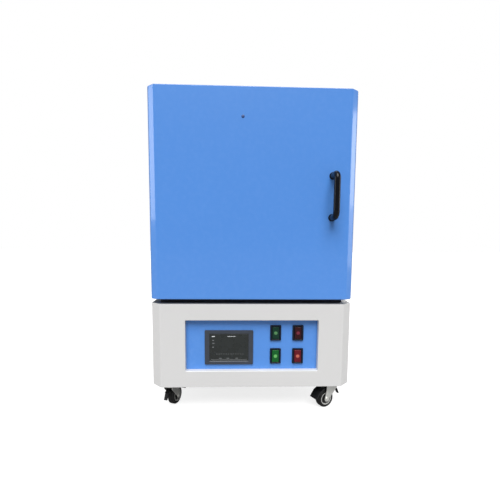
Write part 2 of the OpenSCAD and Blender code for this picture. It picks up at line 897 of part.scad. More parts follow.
// Finger guard: welded rings of wire, with spokes behind them that lie on the cover
module fan_guard() {
    wire = 1.3;
    rings = 5;
    pitch = (fan_w / 2 - 6) / rings;
    ring_out = 2.4 * wire;
    color(zinc) translate([0, y_rear + wire, fan_mid_z]) rotate([-90, 0, 0]) {
        for (i = [1 : rings]) translate([0, 0, ring_out - wire])
            rotate_extrude() translate([i * pitch, 0]) circle(wire, $fn = 16);
        for (a = [0 : 45 : 315]) rotate([0, 0, a]) translate([pitch / 2, 0, 0]) rotate([0, 90, 0])
            cylinder(r = wire, h = fan_w / 2 - 2 - pitch / 2, $fn = 16);
    }
}

// Door

module door_shell() {
    color(paint_blue) difference() {
        translate([0, y_door, z_box]) linear_extrude(box_h)
            cut_plan(body_w, door_t, door_cut_w, door_cut_d);
        translate([0, y_door, z_box + sheet]) linear_extrude(box_h - 2 * sheet)
            cut_plan_inside(body_w, door_t, door_cut_w, door_cut_d, sheet);
        translate([-plug_hole_x, y_door - 1, z_roof - plug_hole_drop]) rotate([-90, 0, 0])
            cylinder(d = plug_hole_d, h = sheet + 2);
    }
}

module door_hole_plug() {
    head_t = 1.5;
    color("#274a86") translate([-plug_hole_x, y_door, z_roof - plug_hole_drop]) rotate([-90, 0, 0]) {
        translate([0, 0, -head_t]) cylinder(d = plug_hole_d + 3, h = head_t);
        cylinder(d = plug_hole_d - 0.1, h = sheet + 4);
    }
}

module door_back_plate() {
    open = ch_w / 2 - plug_clear + 1;
    color(steel) difference() {
        span([-body_w / 2 + sheet + fit, y_door_rear - sheet, z_box + sheet + fit],
            [body_w / 2 - sheet - fit, y_door_rear, z_roof - sheet - fit]);
        span([-open, y_door_rear - 2 * sheet, z_mouth + plug_clear - 1],
            [open, y_door_rear + 1, z_ceiling - plug_clear + 1]);
    }
}

module door_board() {
    half = body_w / 2 - board_in;
    color(fibre) span([-half, y_door_rear - sheet - board_t, z_box + board_in],
        [half, y_door_rear - sheet, z_roof - board_in]);
}

// Stepped plug that closes the chamber's mouth
module door_plug() {
    color(fibre) for (i = [0, 1]) {
        inset = plug_clear + i * plug_step;
        low = i == 0 ? y_door_rear - sheet : y_frame + plug_d;
        span([-ch_w / 2 + inset, low, z_mouth + inset],
            [ch_w / 2 - inset, y_frame + (i + 1) * plug_d, z_ceiling - inset]);
    }
}

module door_seal() {
    inner = ch_w / 2 + seal_in;
    outer = inner + seal_w;
    color("#e9e4d6") difference() {
        span([-outer, y_door_rear + fit, z_mouth - seal_in - seal_w],
            [outer, y_frame, z_ceiling + seal_in + seal_w]);
        span([-inner, y_door_rear, z_mouth - seal_in], [inner, y_frame + 1, z_ceiling + seal_in]);
    }
}

module catch_magnets() {
    w = 16;
    h = 70;
    magnet_in = 40;
    color(black) for (s = [-1, 1]) translate([frame_half - magnet_in, 0, handle_z + s * 0.3 * box_h])
        span([-w / 2, y_door_rear + fit, -h / 2], [w / 2, y_frame, h / 2]);
}

// Bent bar: two legs, two bends and the grip between them
module door_handle() {
    half = handle_span / 2;
    leg = handle_standoff - handle_bend - foot_t;
    color(black) translate([handle_x, y_door, handle_z]) {
        translate([0, -handle_standoff, 0])
            cylinder(r = grip_r, h = handle_span - 2 * handle_bend, center = true);
        for (s = [-1, 1]) {
            translate([0, -foot_t, s * half]) rotate([90, 0, 0]) cylinder(r = grip_r, h = leg);
            translate([0, -handle_standoff + handle_bend, s * (half - handle_bend)])
                rotate([0, 90, 0]) rotate([0, 0, s > 0 ? 180 : 270])
                    rotate_extrude(angle = 90) translate([handle_bend, 0]) circle(grip_r);
        }
    }
}

module handle_feet() {
    color(black) for (s = [-1, 1])
        translate([handle_x, y_door, handle_z + s * handle_span / 2]) rotate([90, 0, 0])
            cylinder(r = foot_r, h = foot_t);
}

// Hinges: the lower knuckle and the pin stay on the frame, the upper knuckle lifts off with the door

module hinge_brackets() {
    color(zinc) for (z = hinge_zs) difference() {
        union() {
            translate([hinge_x, hinge_y, z]) cylinder(r = knuckle_r, h = hinge_h / 2 - fit);
            span([-frame_half - leaf_t, hinge_y, z],
                [-frame_half, hinge_y + leaf_w, z + hinge_h / 2 - fit]);
        }
        translate([hinge_x, hinge_y, z - 1]) cylinder(r = pin_r, h = hinge_h);
    }
}

module hinge_pins() {
    color(zinc) for (z = hinge_zs) translate([hinge_x, hinge_y, z]) cylinder(r = pin_r, h = hinge_h - 4);
}

module hinge_leaves() {
    color(zinc) for (z = hinge_zs) difference() {
        union() {
            translate([hinge_x, hinge_y, z + hinge_h / 2]) cylinder(r = knuckle_r, h = hinge_h / 2);
            span([hinge_x, y_door_rear, z + hinge_h / 2],
                [hinge_x + leaf_w, y_door_rear + leaf_t, z + hinge_h]);
        }
        translate([hinge_x, hinge_y, z + hinge_h / 2 - 1])
            cylinder(r = pin_r + pin_clear, h = hinge_h / 2 - 3);
    }
}

// Casters

// Places a caster piece: at turn 0 the wheel trails towards the front
module at_caster(i) {
    s = caster_spots[i];
    translate([s[0], s[1], 0]) rotate([0, 0, s[2]]) children();
}

// Mounting plates with their ball race, four bolts each and the rivet that carries the fork
module caster_plates() {
    bolt = 29;
    bolt_head_r = 6;
    bolt_head_t = 4;
    plate_corner = 8;
    race_taper = 4;
    rivet_head_t = 4;
    color(zinc) for (c = caster_spots) translate([c[0], c[1], 0]) {
        translate([0, 0, caster_h - plate_t]) linear_extrude(plate_t)
            round_rect(plate_w, plate_w, plate_corner);
        translate([0, 0, fork_top + fit]) cylinder(r1 = race_r - race_taper, r2 = race_r, h = race_h - fit);
        translate([0, 0, fork_top - crown_t - fit]) cylinder(r = rivet_r, h = crown_t + 2 * fit);
        translate([0, 0, fork_top - crown_t - fit - rivet_head_t])
            cylinder(r = rivet_r + 3, h = rivet_head_t);
        for (x = [-1, 1], y = [-1, 1])
            translate([x * bolt, y * bolt, caster_h - plate_t - bolt_head_t])
                cylinder(r = bolt_head_r, h = bolt_head_t + 0.01, $fn = 6);
    }
}

// Side cheek of the fork, drawn with the trail to the right: wide under the crown,
// narrow round the axle, with a shoulder round the pedal's pin
module cheek() {
    neck = 11;
    shoulder = [pedal_pin_x + 8, pedal_pin_z - 4];
    lead_drop = 14;
    polygon([[-fork_lead, fork_top], [shoulder[0], fork_top], shoulder,
        [trail + neck, wheel_r], [trail - neck, wheel_r], [-fork_lead, fork_top - lead_drop]]);
    translate([trail, wheel_r]) circle(neck);
}

// Draws a profile of trail and height as a plate across the wheel
module across(w) {
    rotate([90, 0, -90]) translate([0, 0, -w / 2]) linear_extrude(w) children();
}

// Swivel fork with its wheel bolt, its nuts and the brake pedal's pin
module caster_fork(i) {
    outer = cheek_in + cheek_t;
    nut_r = 8;
    nut_t = 4;
    color(zinc) at_caster(i) {
        difference() {
            union() {
                translate([0, 0, fork_top - crown_t]) cylinder(r = race_r, h = crown_t);
                span([-outer, -fork_lead, fork_top - crown_t], [outer, fork_lead, fork_top]);
            }
            translate([0, 0, fork_top - crown_t - 1])
                cylinder(r = rivet_r + axle_clear, h = crown_t + 2);
        }
        for (s = [-1, 1]) translate([s * (cheek_in + cheek_t / 2), 0, 0]) across(cheek_t) cheek();
        translate([0, -trail, wheel_r]) rotate([0, 90, 0])
            cylinder(r = axle_r, h = 2 * (outer + 1), center = true);
        for (s = [-1, 1]) translate([s * (outer + nut_t / 2), -trail, wheel_r]) rotate([0, 90, 0])
            cylinder(r = nut_r, h = nut_t, center = true, $fn = 6);
        translate([0, -pedal_pin_x, pedal_pin_z]) rotate([0, 90, 0])
            cylinder(r = pedal_pin_r, h = 2 * outer, center = true);
    }
}

// Tyre with a crowned tread on a dished rim
module caster_wheel(i) {
    half = tyre_w / 2;
    crown = 2;
    shoulder = 5;
    bead = 2;
    web_half = half - 6;
    hub_r = axle_r + 6;
    color(black) at_caster(i) translate([0, -trail, wheel_r]) rotate([0, 90, 0])
        difference() {
            union() {
                rotate_extrude() polygon([[rim_r - bead, -half + 1], [wheel_r - shoulder, -half],
                    [wheel_r - crown, -half + shoulder - 1], [wheel_r, -half + 2 * shoulder - 1],
                    [wheel_r, half - 2 * shoulder + 1], [wheel_r - crown, half - shoulder + 1],
                    [wheel_r - shoulder, half], [rim_r - bead, half - 1]]);
                cylinder(r = rim_r - bead / 2, h = 2 * web_half, center = true);
                cylinder(r = hub_r, h = 2 * (half + cheek_gap - fit), center = true);
            }
            cylinder(r = axle_r + axle_clear, h = 2 * tyre_w, center = true);
        }
}

// Brake lever on its pin: a web between the cheeks, a broad pedal that bends down past
// the trailing side of the tyre, and a short release tab on the leading side
module caster_pedal(i) {
    t = 4;
    web_w = 22;
    tab_w = 14;
    pedal_w = 2 * cheek_in + 8;
    over = 6;
    knee = [trail + 14, wheel_d + over];
    hip = [trail + 36, wheel_d - over];
    toe = [trail + 54, wheel_r + 7];
    web = [pedal_pin_x - pedal_hub_r, wheel_d + 2.5];
    tail = [-fork_lead - 8, wheel_d - 9];
    tip = [-fork_lead - 18, wheel_r + over];
    color(black) at_caster(i) difference() {
        union() {
            across(web_w) polygon([tail, web, knee, knee + [t / 2, 1.5 * t],
                web + [0, 1.5 * t], tail + [t / 2, t]]);
            across(tab_w) polygon([tail, tip, tip - [t, 0], tail + [-t, t / 2], tail + [t / 2, t]]);
            across(pedal_w) polygon([knee, hip, toe, toe + [t, t / 2], hip + [0.75 * t, t],
                knee + [t / 2, 1.5 * t]]);
            translate([0, -pedal_pin_x, pedal_pin_z]) rotate([0, 90, 0])
                cylinder(r = pedal_hub_r, h = 2 * cheek_in - 1, center = true);
        }
        translate([0, -pedal_pin_x, pedal_pin_z]) rotate([0, 90, 0])
            cylinder(r = pedal_pin_r + axle_clear, h = 4 * cheek_in, center = true);
    }
}

module caster_fork_fl() { caster_fork(0); }
module caster_wheel_fl() { caster_wheel(0); }
module caster_pedal_fl() { caster_pedal(0); }
module caster_fork_fr() { caster_fork(1); }
module caster_wheel_fr() { caster_wheel(1); }
module caster_pedal_fr() { caster_pedal(1); }
module caster_fork_rl() { caster_fork(2); }
module caster_wheel_rl() { caster_wheel(2); }
module caster_fork_rr() { caster_fork(3); }
module caster_wheel_rr() { caster_wheel(3); }

base_shell();
base_frame();
base_floor();
base_top();
base_rear_panel();
plinth();
control_panel();
screen_bezel();
screen_glass();
button_frames();
green_button_upper();
red_button_upper();
green_button_lower();
red_button_lower();
transformer();
power_controller();
cable_gland();
outer_casing();
top_cover();
rear_cover();
inner_casing();
front_frame();
mouth_lining();
floor_lining();
side_linings();
back_lining();
roof_lining();
hearth_plate();
heating_elements();
element_clamps();
element_straps();
thermocouple();
fan_housing();
fan_guard();
fan_rotor();
door_seal();
catch_magnets();
hinge_brackets();
hinge_pins();
hinge_leaves();
door_shell();
door_back_plate();
door_board();
door_plug();
door_handle();
handle_feet();
door_hole_plug();
cover_screws();
caster_plates();
caster_fork_fl();
caster_wheel_fl();
caster_pedal_fl();
caster_fork_fr();
caster_wheel_fr();
caster_pedal_fr();
caster_fork_rl();
caster_wheel_rl();
caster_fork_rr();
caster_wheel_rr();
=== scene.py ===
import json
import math
import bmesh
import bpy
from mathutils import Matrix, Vector


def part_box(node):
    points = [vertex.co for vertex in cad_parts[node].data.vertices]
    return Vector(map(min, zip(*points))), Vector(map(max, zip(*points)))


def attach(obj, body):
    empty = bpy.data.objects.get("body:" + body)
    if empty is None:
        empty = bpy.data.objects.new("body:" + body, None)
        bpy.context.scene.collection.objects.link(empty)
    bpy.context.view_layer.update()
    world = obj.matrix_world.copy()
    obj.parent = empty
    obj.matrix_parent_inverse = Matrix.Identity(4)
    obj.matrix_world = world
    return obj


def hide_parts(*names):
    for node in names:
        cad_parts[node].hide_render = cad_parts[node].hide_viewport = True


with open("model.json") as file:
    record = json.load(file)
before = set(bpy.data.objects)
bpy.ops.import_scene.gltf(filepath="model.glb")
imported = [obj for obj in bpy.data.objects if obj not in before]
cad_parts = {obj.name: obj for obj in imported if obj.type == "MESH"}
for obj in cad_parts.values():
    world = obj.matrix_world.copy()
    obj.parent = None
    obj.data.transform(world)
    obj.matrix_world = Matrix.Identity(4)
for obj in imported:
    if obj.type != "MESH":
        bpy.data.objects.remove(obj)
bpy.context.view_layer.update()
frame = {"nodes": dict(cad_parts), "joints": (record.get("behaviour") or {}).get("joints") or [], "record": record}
scene = bpy.context.scene
mm = 0.001
jointOf = {joint["name"]: joint for joint in frame["joints"]}
bodyOf = {node: body for body, members in frame["record"]["behaviour"]["bodies"].items() for node in members}
print("frame loaded:", len(frame["nodes"]), "nodes")


# Shader groups: each effect is built once and placed in the materials that use it

def fill(tree, socket, value):
    # Sets a socket, or links it when the value is another socket
    if isinstance(value, bpy.types.NodeSocket):
        tree.links.new(value, socket)
    else:
        socket.default_value = value


def fillAll(tree, node, values):
    for label, value in values.items():
        fill(tree, node.inputs[label], value)


def newGroup(name, inputs, outputs):
    # Every group takes the place on the surface. A tuple gets a vector socket, a number a float one
    group = bpy.data.node_groups.new(name, "ShaderNodeTree")
    for label, value in {"Vector": (0.0, 0.0, 0.0), **inputs}.items():
        kind = "Vector" if isinstance(value, tuple) else "Float"
        socket = group.interface.new_socket(name=label, in_out="INPUT", socket_type="NodeSocket" + kind)
        socket.default_value = value
    for label in outputs:
        group.interface.new_socket(name=label, in_out="OUTPUT", socket_type="NodeSocketFloat")
    return group, group.nodes.new("NodeGroupInput").outputs, group.nodes.new("NodeGroupOutput").inputs


def addNoise(tree, vector, scale, detail=2.0, rough=0.5):
    noise = tree.nodes.new("ShaderNodeTexNoise")
    fillAll(tree, noise, {"Vector": vector, "Scale": scale, "Detail": detail, "Roughness": rough})
    return noise.outputs["Fac"]


def addMath(tree, operation, first, second, clamp=False):
    node = tree.nodes.new("ShaderNodeMath")
    node.operation = operation
    node.use_clamp = clamp
    fill(tree, node.inputs[0], first)
    fill(tree, node.inputs[1], second)
    return node.outputs[0]


def swung(tree, pattern, spread):
    # A pattern from 0 to 1, made to swing evenly about 0
    return addMath(tree, "MULTIPLY", addMath(tree, "SUBTRACT", pattern, 0.5), spread)


def addRange(tree, value, fromLow, fromHigh, toLow=0.0, toHigh=1.0):
    node = tree.nodes.new("ShaderNodeMapRange")
    fillAll(tree, node, {"Value": value, "From Min": fromLow, "From Max": fromHigh,
        "To Min": toLow, "To Max": toHigh})
    return node.outputs["Result"]


def stretched(tree, vector, scale):
    mapping = tree.nodes.new("ShaderNodeMapping")
    fillAll(tree, mapping, {"Vector": vector, "Scale": scale})
    return mapping.outputs["Vector"]


paintPattern = {"peelDetail": 1.5, "fineScale": 1900.0, "fineShare": 0.25, "driftScale": 2.3,
    "smudgeScale": 14.0}


def paintGroup(look):
    # Sprayed and baked paint: orange peel, a slow drift of tone and faint smudges
    group, given, made = newGroup("paintSurface", {"Peel Size": 300.0, "Tone Drift": 0.04,
        "Base Roughness": 0.3, "Smudges": 0.08}, ("Height", "Tone", "Roughness"))
    place = given["Vector"]
    peel = addNoise(group, place, given["Peel Size"], look["peelDetail"])
    fine = addMath(group, "MULTIPLY", addNoise(group, place, look["fineScale"], 1.0), look["fineShare"])
    fill(group, made["Height"], addMath(group, "ADD", peel, fine))
    drift = swung(group, addNoise(group, place, look["driftScale"]), given["Tone Drift"])
    fill(group, made["Tone"], addMath(group, "ADD", drift, 1.0))
    wiped = swung(group, addNoise(group, place, look["smudgeScale"], 4.0, 0.6), given["Smudges"])
    fill(group, made["Roughness"], addMath(group, "ADD", wiped, given["Base Roughness"]))
    return group


wearAndHighlightPattern = {"edgeFrom": 0.52, "edgeTo": 0.62, "patchScale": 60.0, "patchFrom": 0.45, "patchTo": 0.65}


def wearAndHighlightGroup(look):
    # Convex edges show a little of what lies under the finish, together with a painted edge highlight: the mask
    # lightens the paint at every convex edge
    group, given, made = newGroup("edgeWearAndHighlight", {"Amount": 0.3}, ("Mask",))
    pointed = group.nodes.new("ShaderNodeNewGeometry").outputs["Pointiness"]
    convex = addRange(group, pointed, look["edgeFrom"], look["edgeTo"])
    patches = addNoise(group, given["Vector"], look["patchScale"], 4.0, 0.65)
    broken = addRange(group, patches, look["patchFrom"], look["patchTo"])
    both = addMath(group, "MULTIPLY", convex, broken)
    fill(group, made["Mask"], addMath(group, "MULTIPLY", both, given["Amount"], True))
    return group


metalPattern = {"spangleScale": 140.0, "blotchScale": 9.0, "blotch": 0.25, "lineGloss": 0.25}


def grainGroup(look):
    # Drawn or brushed metal: long fine lines and a broad change of tone
    group, given, made = newGroup("metalGrain", {"Stretch": (1.0, 1.0, 1.0), "Line Size": 400.0,
        "Base Roughness": 0.35, "Spangle": 0.1}, ("Height", "Tone", "Roughness"))
    pull = group.nodes.new("ShaderNodeVectorMath")
    pull.operation = "MULTIPLY"
    fill(group, pull.inputs[0], given["Vector"])
    fill(group, pull.inputs[1], given["Stretch"])
    lines = addNoise(group, pull.outputs[0], given["Line Size"], 3.0, 0.7)
    fill(group, made["Height"], lines)
    cells = group.nodes.new("ShaderNodeTexVoronoi")
    fillAll(group, cells, {"Vector": given["Vector"], "Scale": look["spangleScale"]})
    tint = group.nodes.new("ShaderNodeSeparateColor")
    fill(group, tint.inputs["Color"], cells.outputs["Color"])
    spangle = swung(group, tint.outputs[0], given["Spangle"])
    blotch = swung(group, addNoise(group, given["Vector"], look["blotchScale"], 3.0), look["blotch"])
    fill(group, made["Tone"], addMath(group, "ADD", addMath(group, "ADD", spangle, blotch), 1.0))
    matt = swung(group, lines, look["lineGloss"])
    fill(group, made["Roughness"], addMath(group, "ADD", matt, given["Base Roughness"]))
    return group


fibrePattern = {"stretches": ((1.0, 1.0, 6.0), (6.0, 5.0, 1.0)), "pitScale": 70.0, "pitShare": 0.8,
    "pitRange": (0.3, 0.7), "pitTones": (0.93, 1.03), "warmScale": 5.0, "warmRange": (0.4, 0.7)}


def fibreGroup(look):
    # Pressed ceramic fibre: tangled short fibres, soft pits and a warm cast in places
    group, given, made = newGroup("pressedFibre", {"Fibre Size": 500.0, "Stain": 0.12},
        ("Height", "Tone", "Warmth"))
    place = given["Vector"]
    along, across = [addNoise(group, stretched(group, place, stretch), given["Fibre Size"])
        for stretch in look["stretches"]]
    tangle = addMath(group, "MAXIMUM", along, across)
    pits = addNoise(group, place, look["pitScale"], 5.0, 0.6)
    pitted = addMath(group, "MULTIPLY", pits, look["pitShare"])
    fill(group, made["Height"], addMath(group, "ADD", tangle, pitted))
    fill(group, made["Tone"], addRange(group, pits, *look["pitRange"], *look["pitTones"]))
    warm = addRange(group, addNoise(group, place, look["warmScale"], 3.0), *look["warmRange"])
    fill(group, made["Warmth"], addMath(group, "MULTIPLY", warm, given["Stain"]))
    return group


mouldPattern = {"bloomScale": 35.0, "bloomFrom": 0.4, "bloomTo": 0.75, "bloomGloss": 0.1}


def mouldGroup(look):
    # Moulded plastic and rubber: spark-eroded grain with a dusty bloom
    group, given, made = newGroup("mouldGrain", {"Grain Size": 1500.0, "Base Roughness": 0.5, "Dust": 0.05},
        ("Height", "Dust", "Roughness"))
    fill(group, made["Height"], addNoise(group, given["Vector"], given["Grain Size"], 3.0, 0.6))
    cloud = addNoise(group, given["Vector"], look["bloomScale"], 4.0)
    bloom = addRange(group, cloud, look["bloomFrom"], look["bloomTo"])
    fill(group, made["Dust"], addMath(group, "MULTIPLY", bloom, given["Dust"]))
    matt = swung(group, bloom, look["bloomGloss"])
    fill(group, made["Roughness"], addMath(group, "ADD", matt, given["Base Roughness"]))
    return group


paintSurface = paintGroup(paintPattern)
edgeWearAndHighlight = wearAndHighlightGroup(wearAndHighlightPattern)
metalGrain = grainGroup(metalPattern)
pressedFibre = fibreGroup(fibrePattern)
mouldGrain = mouldGroup(mouldPattern)
print("shader groups built")


# Materials

plainSpecular = 0.5
mouldedGloss = 0.08  # Coat roughness of moulded pieces


def newMaterial(name):
    material = bpy.data.materials.new(name)
    material.use_nodes = True
    tree = material.node_tree
    place = tree.nodes.new("ShaderNodeTexCoord").outputs["Object"]
    return material, tree, tree.nodes["Principled BSDF"], place


def placeGroup(tree, group, place, values):
    node = tree.nodes.new("ShaderNodeGroup")
    node.node_tree = group
    fillAll(tree, node, {"Vector": place, **values})
    return node.outputs


def addBump(tree, shader, height, depth):
    bump = tree.nodes.new("ShaderNodeBump")
    fillAll(tree, bump, {"Height": height, "Distance": depth, "Strength": 1.0})
    fill(tree, shader.inputs["Normal"], bump.outputs["Normal"])


def toned(tree, colour, tone):
    # The colour, lighter or darker by the tone
    scaled = tree.nodes.new("ShaderNodeVectorMath")
    scaled.operation = "SCALE"
    fill(tree, scaled.inputs[0], colour)
    fill(tree, scaled.inputs["Scale"], tone)
    return scaled.outputs[0]


def mixed(tree, first, second, share):
    node = tree.nodes.new("ShaderNodeMix")
    node.data_type = "RGBA"
    for socket, value in ((node.inputs[6], first), (node.inputs[7], second), (node.inputs["Factor"], share)):
        fill(tree, socket, (*value, 1.0) if isinstance(value, tuple) else value)
    return node.outputs[2]


def paintMaterial(name, look):
    material, tree, shader, place = newMaterial(name)
    surface = placeGroup(tree, paintSurface, place, {"Peel Size": look["peelSize"],
        "Tone Drift": look["toneDrift"], "Base Roughness": look["roughness"], "Smudges": look["smudges"]})
    # Convex edges take a paler tint of the paint: partly wear, partly a painted edge highlight
    wornAndHighlit = placeGroup(tree, edgeWearAndHighlight, place, {"Amount": look["wear"]})
    coat = toned(tree, look["colour"], surface["Tone"])
    fillAll(tree, shader, {"Base Color": mixed(tree, coat, look["wornAndHighlightColour"], wornAndHighlit["Mask"]),
        "Roughness": surface["Roughness"], "Coat Weight": look["coat"],
        "Coat Roughness": look["coatRoughness"], "Specular IOR Level": look.get("specular", plainSpecular)})
    addBump(tree, shader, surface["Height"], look["peelDepth"])
    return material


def metalMaterial(name, look):
    material, tree, shader, place = newMaterial(name)
    surface = placeGroup(tree, metalGrain, place, {"Stretch": look["stretch"], "Line Size": look["lineSize"],
        "Base Roughness": look["roughness"], "Spangle": look["spangle"]})
    fillAll(tree, shader, {"Base Color": toned(tree, look["colour"], surface["Tone"]),
        "Roughness": surface["Roughness"], "Metallic": look["metallic"]})
    addBump(tree, shader, surface["Height"], look["lineDepth"])
    return material


def fibreMaterial(name, look):
    material, tree, shader, place = newMaterial(name)
    surface = placeGroup(tree, pressedFibre, place, {"Fibre Size": look["fibreSize"], "Stain": look["stain"]})
    board = toned(tree, look["colour"], surface["Tone"])
    fillAll(tree, shader, {"Base Color": mixed(tree, board, look["stainColour"], surface["Warmth"]),
        "Roughness": look["roughness"], "Sheen Weight": look["sheen"]})
    addBump(tree, shader, surface["Height"], look["fibreDepth"])
    return material


def mouldedMaterial(name, look):
    material, tree, shader, place = newMaterial(name)
    surface = placeGroup(tree, mouldGrain, place, {"Grain Size": look["grainSize"],
        "Base Roughness": look["roughness"], "Dust": look["dust"]})
    fillAll(tree, shader, {"Base Color": mixed(tree, look["colour"], look["dustColour"], surface["Dust"]),
        "Roughness": surface["Roughness"], "Coat Weight": look["coat"], "Coat Roughness": mouldedGloss,
        "Specular IOR Level": look.get("specular", plainSpecular)})
    if "glow" in look:
        fillAll(tree, shader, {"Emission Color": (*look["colour"], 1.0), "Emission Strength": look["glow"]})
    addBump(tree, shader, surface["Height"], look["grainDepth"])
    return material


bluePaint = paintMaterial("bluePaint", {"colour": (0.084, 0.262, 0.700), "wornAndHighlightColour": (0.30, 0.50, 0.90),
    "peelSize": 320.0, "peelDepth": 0.012 * mm, "toneDrift": 0.05, "roughness": 0.34, "smudges": 0.06,
    "coat": 0.62, "coatRoughness": 0.10, "wear": 0.25, "specular": 0.25})
whitePaint = paintMaterial("whitePaint", {"colour": (0.640, 0.635, 0.630),
    "wornAndHighlightColour": (0.85, 0.85, 0.85), "peelSize": 280.0, "peelDepth": 0.014 * mm, "toneDrift": 0.04,
    "roughness": 0.38, "smudges": 0.08, "coat": 0.35, "coatRoughness": 0.2, "wear": 0.2})
# Plinth: near-black, the painted shade of the recessed gap under the door
plinthPaintedShade = paintMaterial("plinthPaintedShade", {"colour": (0.030, 0.034, 0.048), "wornAndHighlightColour": (0.12, 0.12, 0.13),
    "peelSize": 300.0, "peelDepth": 0.015 * mm, "toneDrift": 0.1, "roughness": 0.5, "smudges": 0.1,
    "coat": 0.1, "coatRoughness": 0.3, "wear": 0.5})
# Base top: dark grey, the painted shade that the door above throws on the white cabinet top
baseTopPaintedShade = paintMaterial("baseTopPaintedShade", {"colour": (0.16, 0.165, 0.17), "wornAndHighlightColour": (0.2, 0.2, 0.2),
    "peelSize": 280.0, "peelDepth": 0.014 * mm, "toneDrift": 0.06, "roughness": 0.5, "smudges": 0.1,
    "coat": 0.1, "coatRoughness": 0.3, "wear": 0.2})
blackEnamel = paintMaterial("blackEnamel", {"colour": (0.003, 0.0035, 0.006),
    "wornAndHighlightColour": (0.04, 0.04, 0.045), "peelSize": 240.0, "peelDepth": 0.008 * mm, "toneDrift": 0.1,
    "roughness": 0.26, "smudges": 0.06, "coat": 0.0, "coatRoughness": 0.1, "wear": 0.2,
    "specular": 0.22})
sheetSteel = metalMaterial("sheetSteel", {"colour": (0.50, 0.51, 0.52), "stretch": (0.03, 1.0, 1.0),
    "lineSize": 1400.0, "lineDepth": 0.01 * mm, "roughness": 0.36, "spangle": 0.02, "metallic": 1.0})
zincPlate = metalMaterial("zincPlate", {"colour": (0.68, 0.68, 0.65), "stretch": (1.0, 1.0, 0.25),
    "lineSize": 700.0, "lineDepth": 0.008 * mm, "roughness": 0.38, "spangle": 0.1, "metallic": 0.6})
rimSteel = metalMaterial("rimSteel", {"colour": (0.66, 0.66, 0.64), "stretch": (1.0, 1.0, 1.0),
    "lineSize": 900.0, "lineDepth": 0.006 * mm, "roughness": 0.34, "spangle": 0.03, "metallic": 0.35})
castAluminium = metalMaterial("castAluminium", {"colour": (0.50, 0.50, 0.51), "stretch": (1.0, 1.0, 1.0),
    "lineSize": 900.0, "lineDepth": 0.02 * mm, "roughness": 0.45, "spangle": 0.03, "metallic": 0.9})
laminateSteel = metalMaterial("laminateSteel", {"colour": (0.16, 0.16, 0.17),
    "stretch": (0.05, 3.0, 0.05), "lineSize": 900.0, "lineDepth": 0.04 * mm, "roughness": 0.5,
    "spangle": 0.05, "metallic": 0.7})
elementGlaze = metalMaterial("elementGlaze", {"colour": (0.20, 0.17, 0.15), "stretch": (1.0, 1.0, 0.2),
    "lineSize": 400.0, "lineDepth": 0.03 * mm, "roughness": 0.42, "spangle": 0.15, "metallic": 0.3})
fibreBoard = fibreMaterial("fibreBoard", {"colour": (0.84, 0.815, 0.755),
    "stainColour": (0.66, 0.56, 0.42), "fibreSize": 520.0, "fibreDepth": 0.35 * mm, "stain": 0.22,
    "roughness": 0.95, "sheen": 0.15})
hearthStone = fibreMaterial("hearthStone", {"colour": (0.25, 0.235, 0.22),
    "stainColour": (0.42, 0.36, 0.30), "fibreSize": 300.0, "fibreDepth": 0.25 * mm, "stain": 0.5,
    "roughness": 0.8, "sheen": 0.0})
steatite = fibreMaterial("steatite", {"colour": (0.74, 0.70, 0.60), "stainColour": (0.60, 0.52, 0.42),
    "fibreSize": 900.0, "fibreDepth": 0.06 * mm, "stain": 0.2, "roughness": 0.55, "sheen": 0.0})
blackPlastic = mouldedMaterial("blackPlastic", {"colour": (0.006, 0.0065, 0.008),
    "dustColour": (0.08, 0.08, 0.08), "grainSize": 1500.0, "grainDepth": 0.02 * mm, "roughness": 0.42,
    "dust": 0.05, "coat": 0.05, "specular": 0.35})
# Button frames: near-black, with a slight navy tint that is painted blue reflection
switchFrame = mouldedMaterial("switchFrame", {"colour": (0.003, 0.006, 0.016),
    "dustColour": (0.03, 0.04, 0.06), "grainSize": 1800.0, "grainDepth": 0.01 * mm, "roughness": 0.35,
    "dust": 0.05, "coat": 0.0, "specular": 0.3})
screenCase = mouldedMaterial("screenCase", {"colour": (0.034, 0.042, 0.060),
    "dustColour": (0.10, 0.11, 0.13), "grainSize": 1300.0, "grainDepth": 0.015 * mm, "roughness": 0.4,
    "dust": 0.05, "coat": 0.1})
screenFace = mouldedMaterial("screenFace", {"colour": (0.022, 0.025, 0.024),
    "dustColour": (0.035, 0.04, 0.04), "grainSize": 2500.0, "grainDepth": 0.002 * mm, "roughness": 0.3,
    "dust": 0.3, "coat": 0.0, "specular": 0.3})
screenPale = mouldedMaterial("screenPale", {"colour": (0.62, 0.64, 0.66), "dustColour": (0.5, 0.5, 0.5),
    "grainSize": 2500.0, "grainDepth": 0.001 * mm, "roughness": 0.3, "dust": 0.1, "coat": 0.3,
    "glow": 0.15})
screenDim = mouldedMaterial("screenDim", {"colour": (0.17, 0.18, 0.185), "dustColour": (0.12, 0.12, 0.12),
    "grainSize": 2500.0, "grainDepth": 0.001 * mm, "roughness": 0.3, "dust": 0.1, "coat": 0.3})


def lensMaterial(name, colour, dustColour, glow=0.0):
    return mouldedMaterial(name, {"colour": colour, "dustColour": dustColour, "grainSize": 2200.0,
        "grainDepth": 0.002 * mm, "roughness": 0.2, "dust": 0.12, "coat": 0.0, "specular": 0.3, "glow": glow})


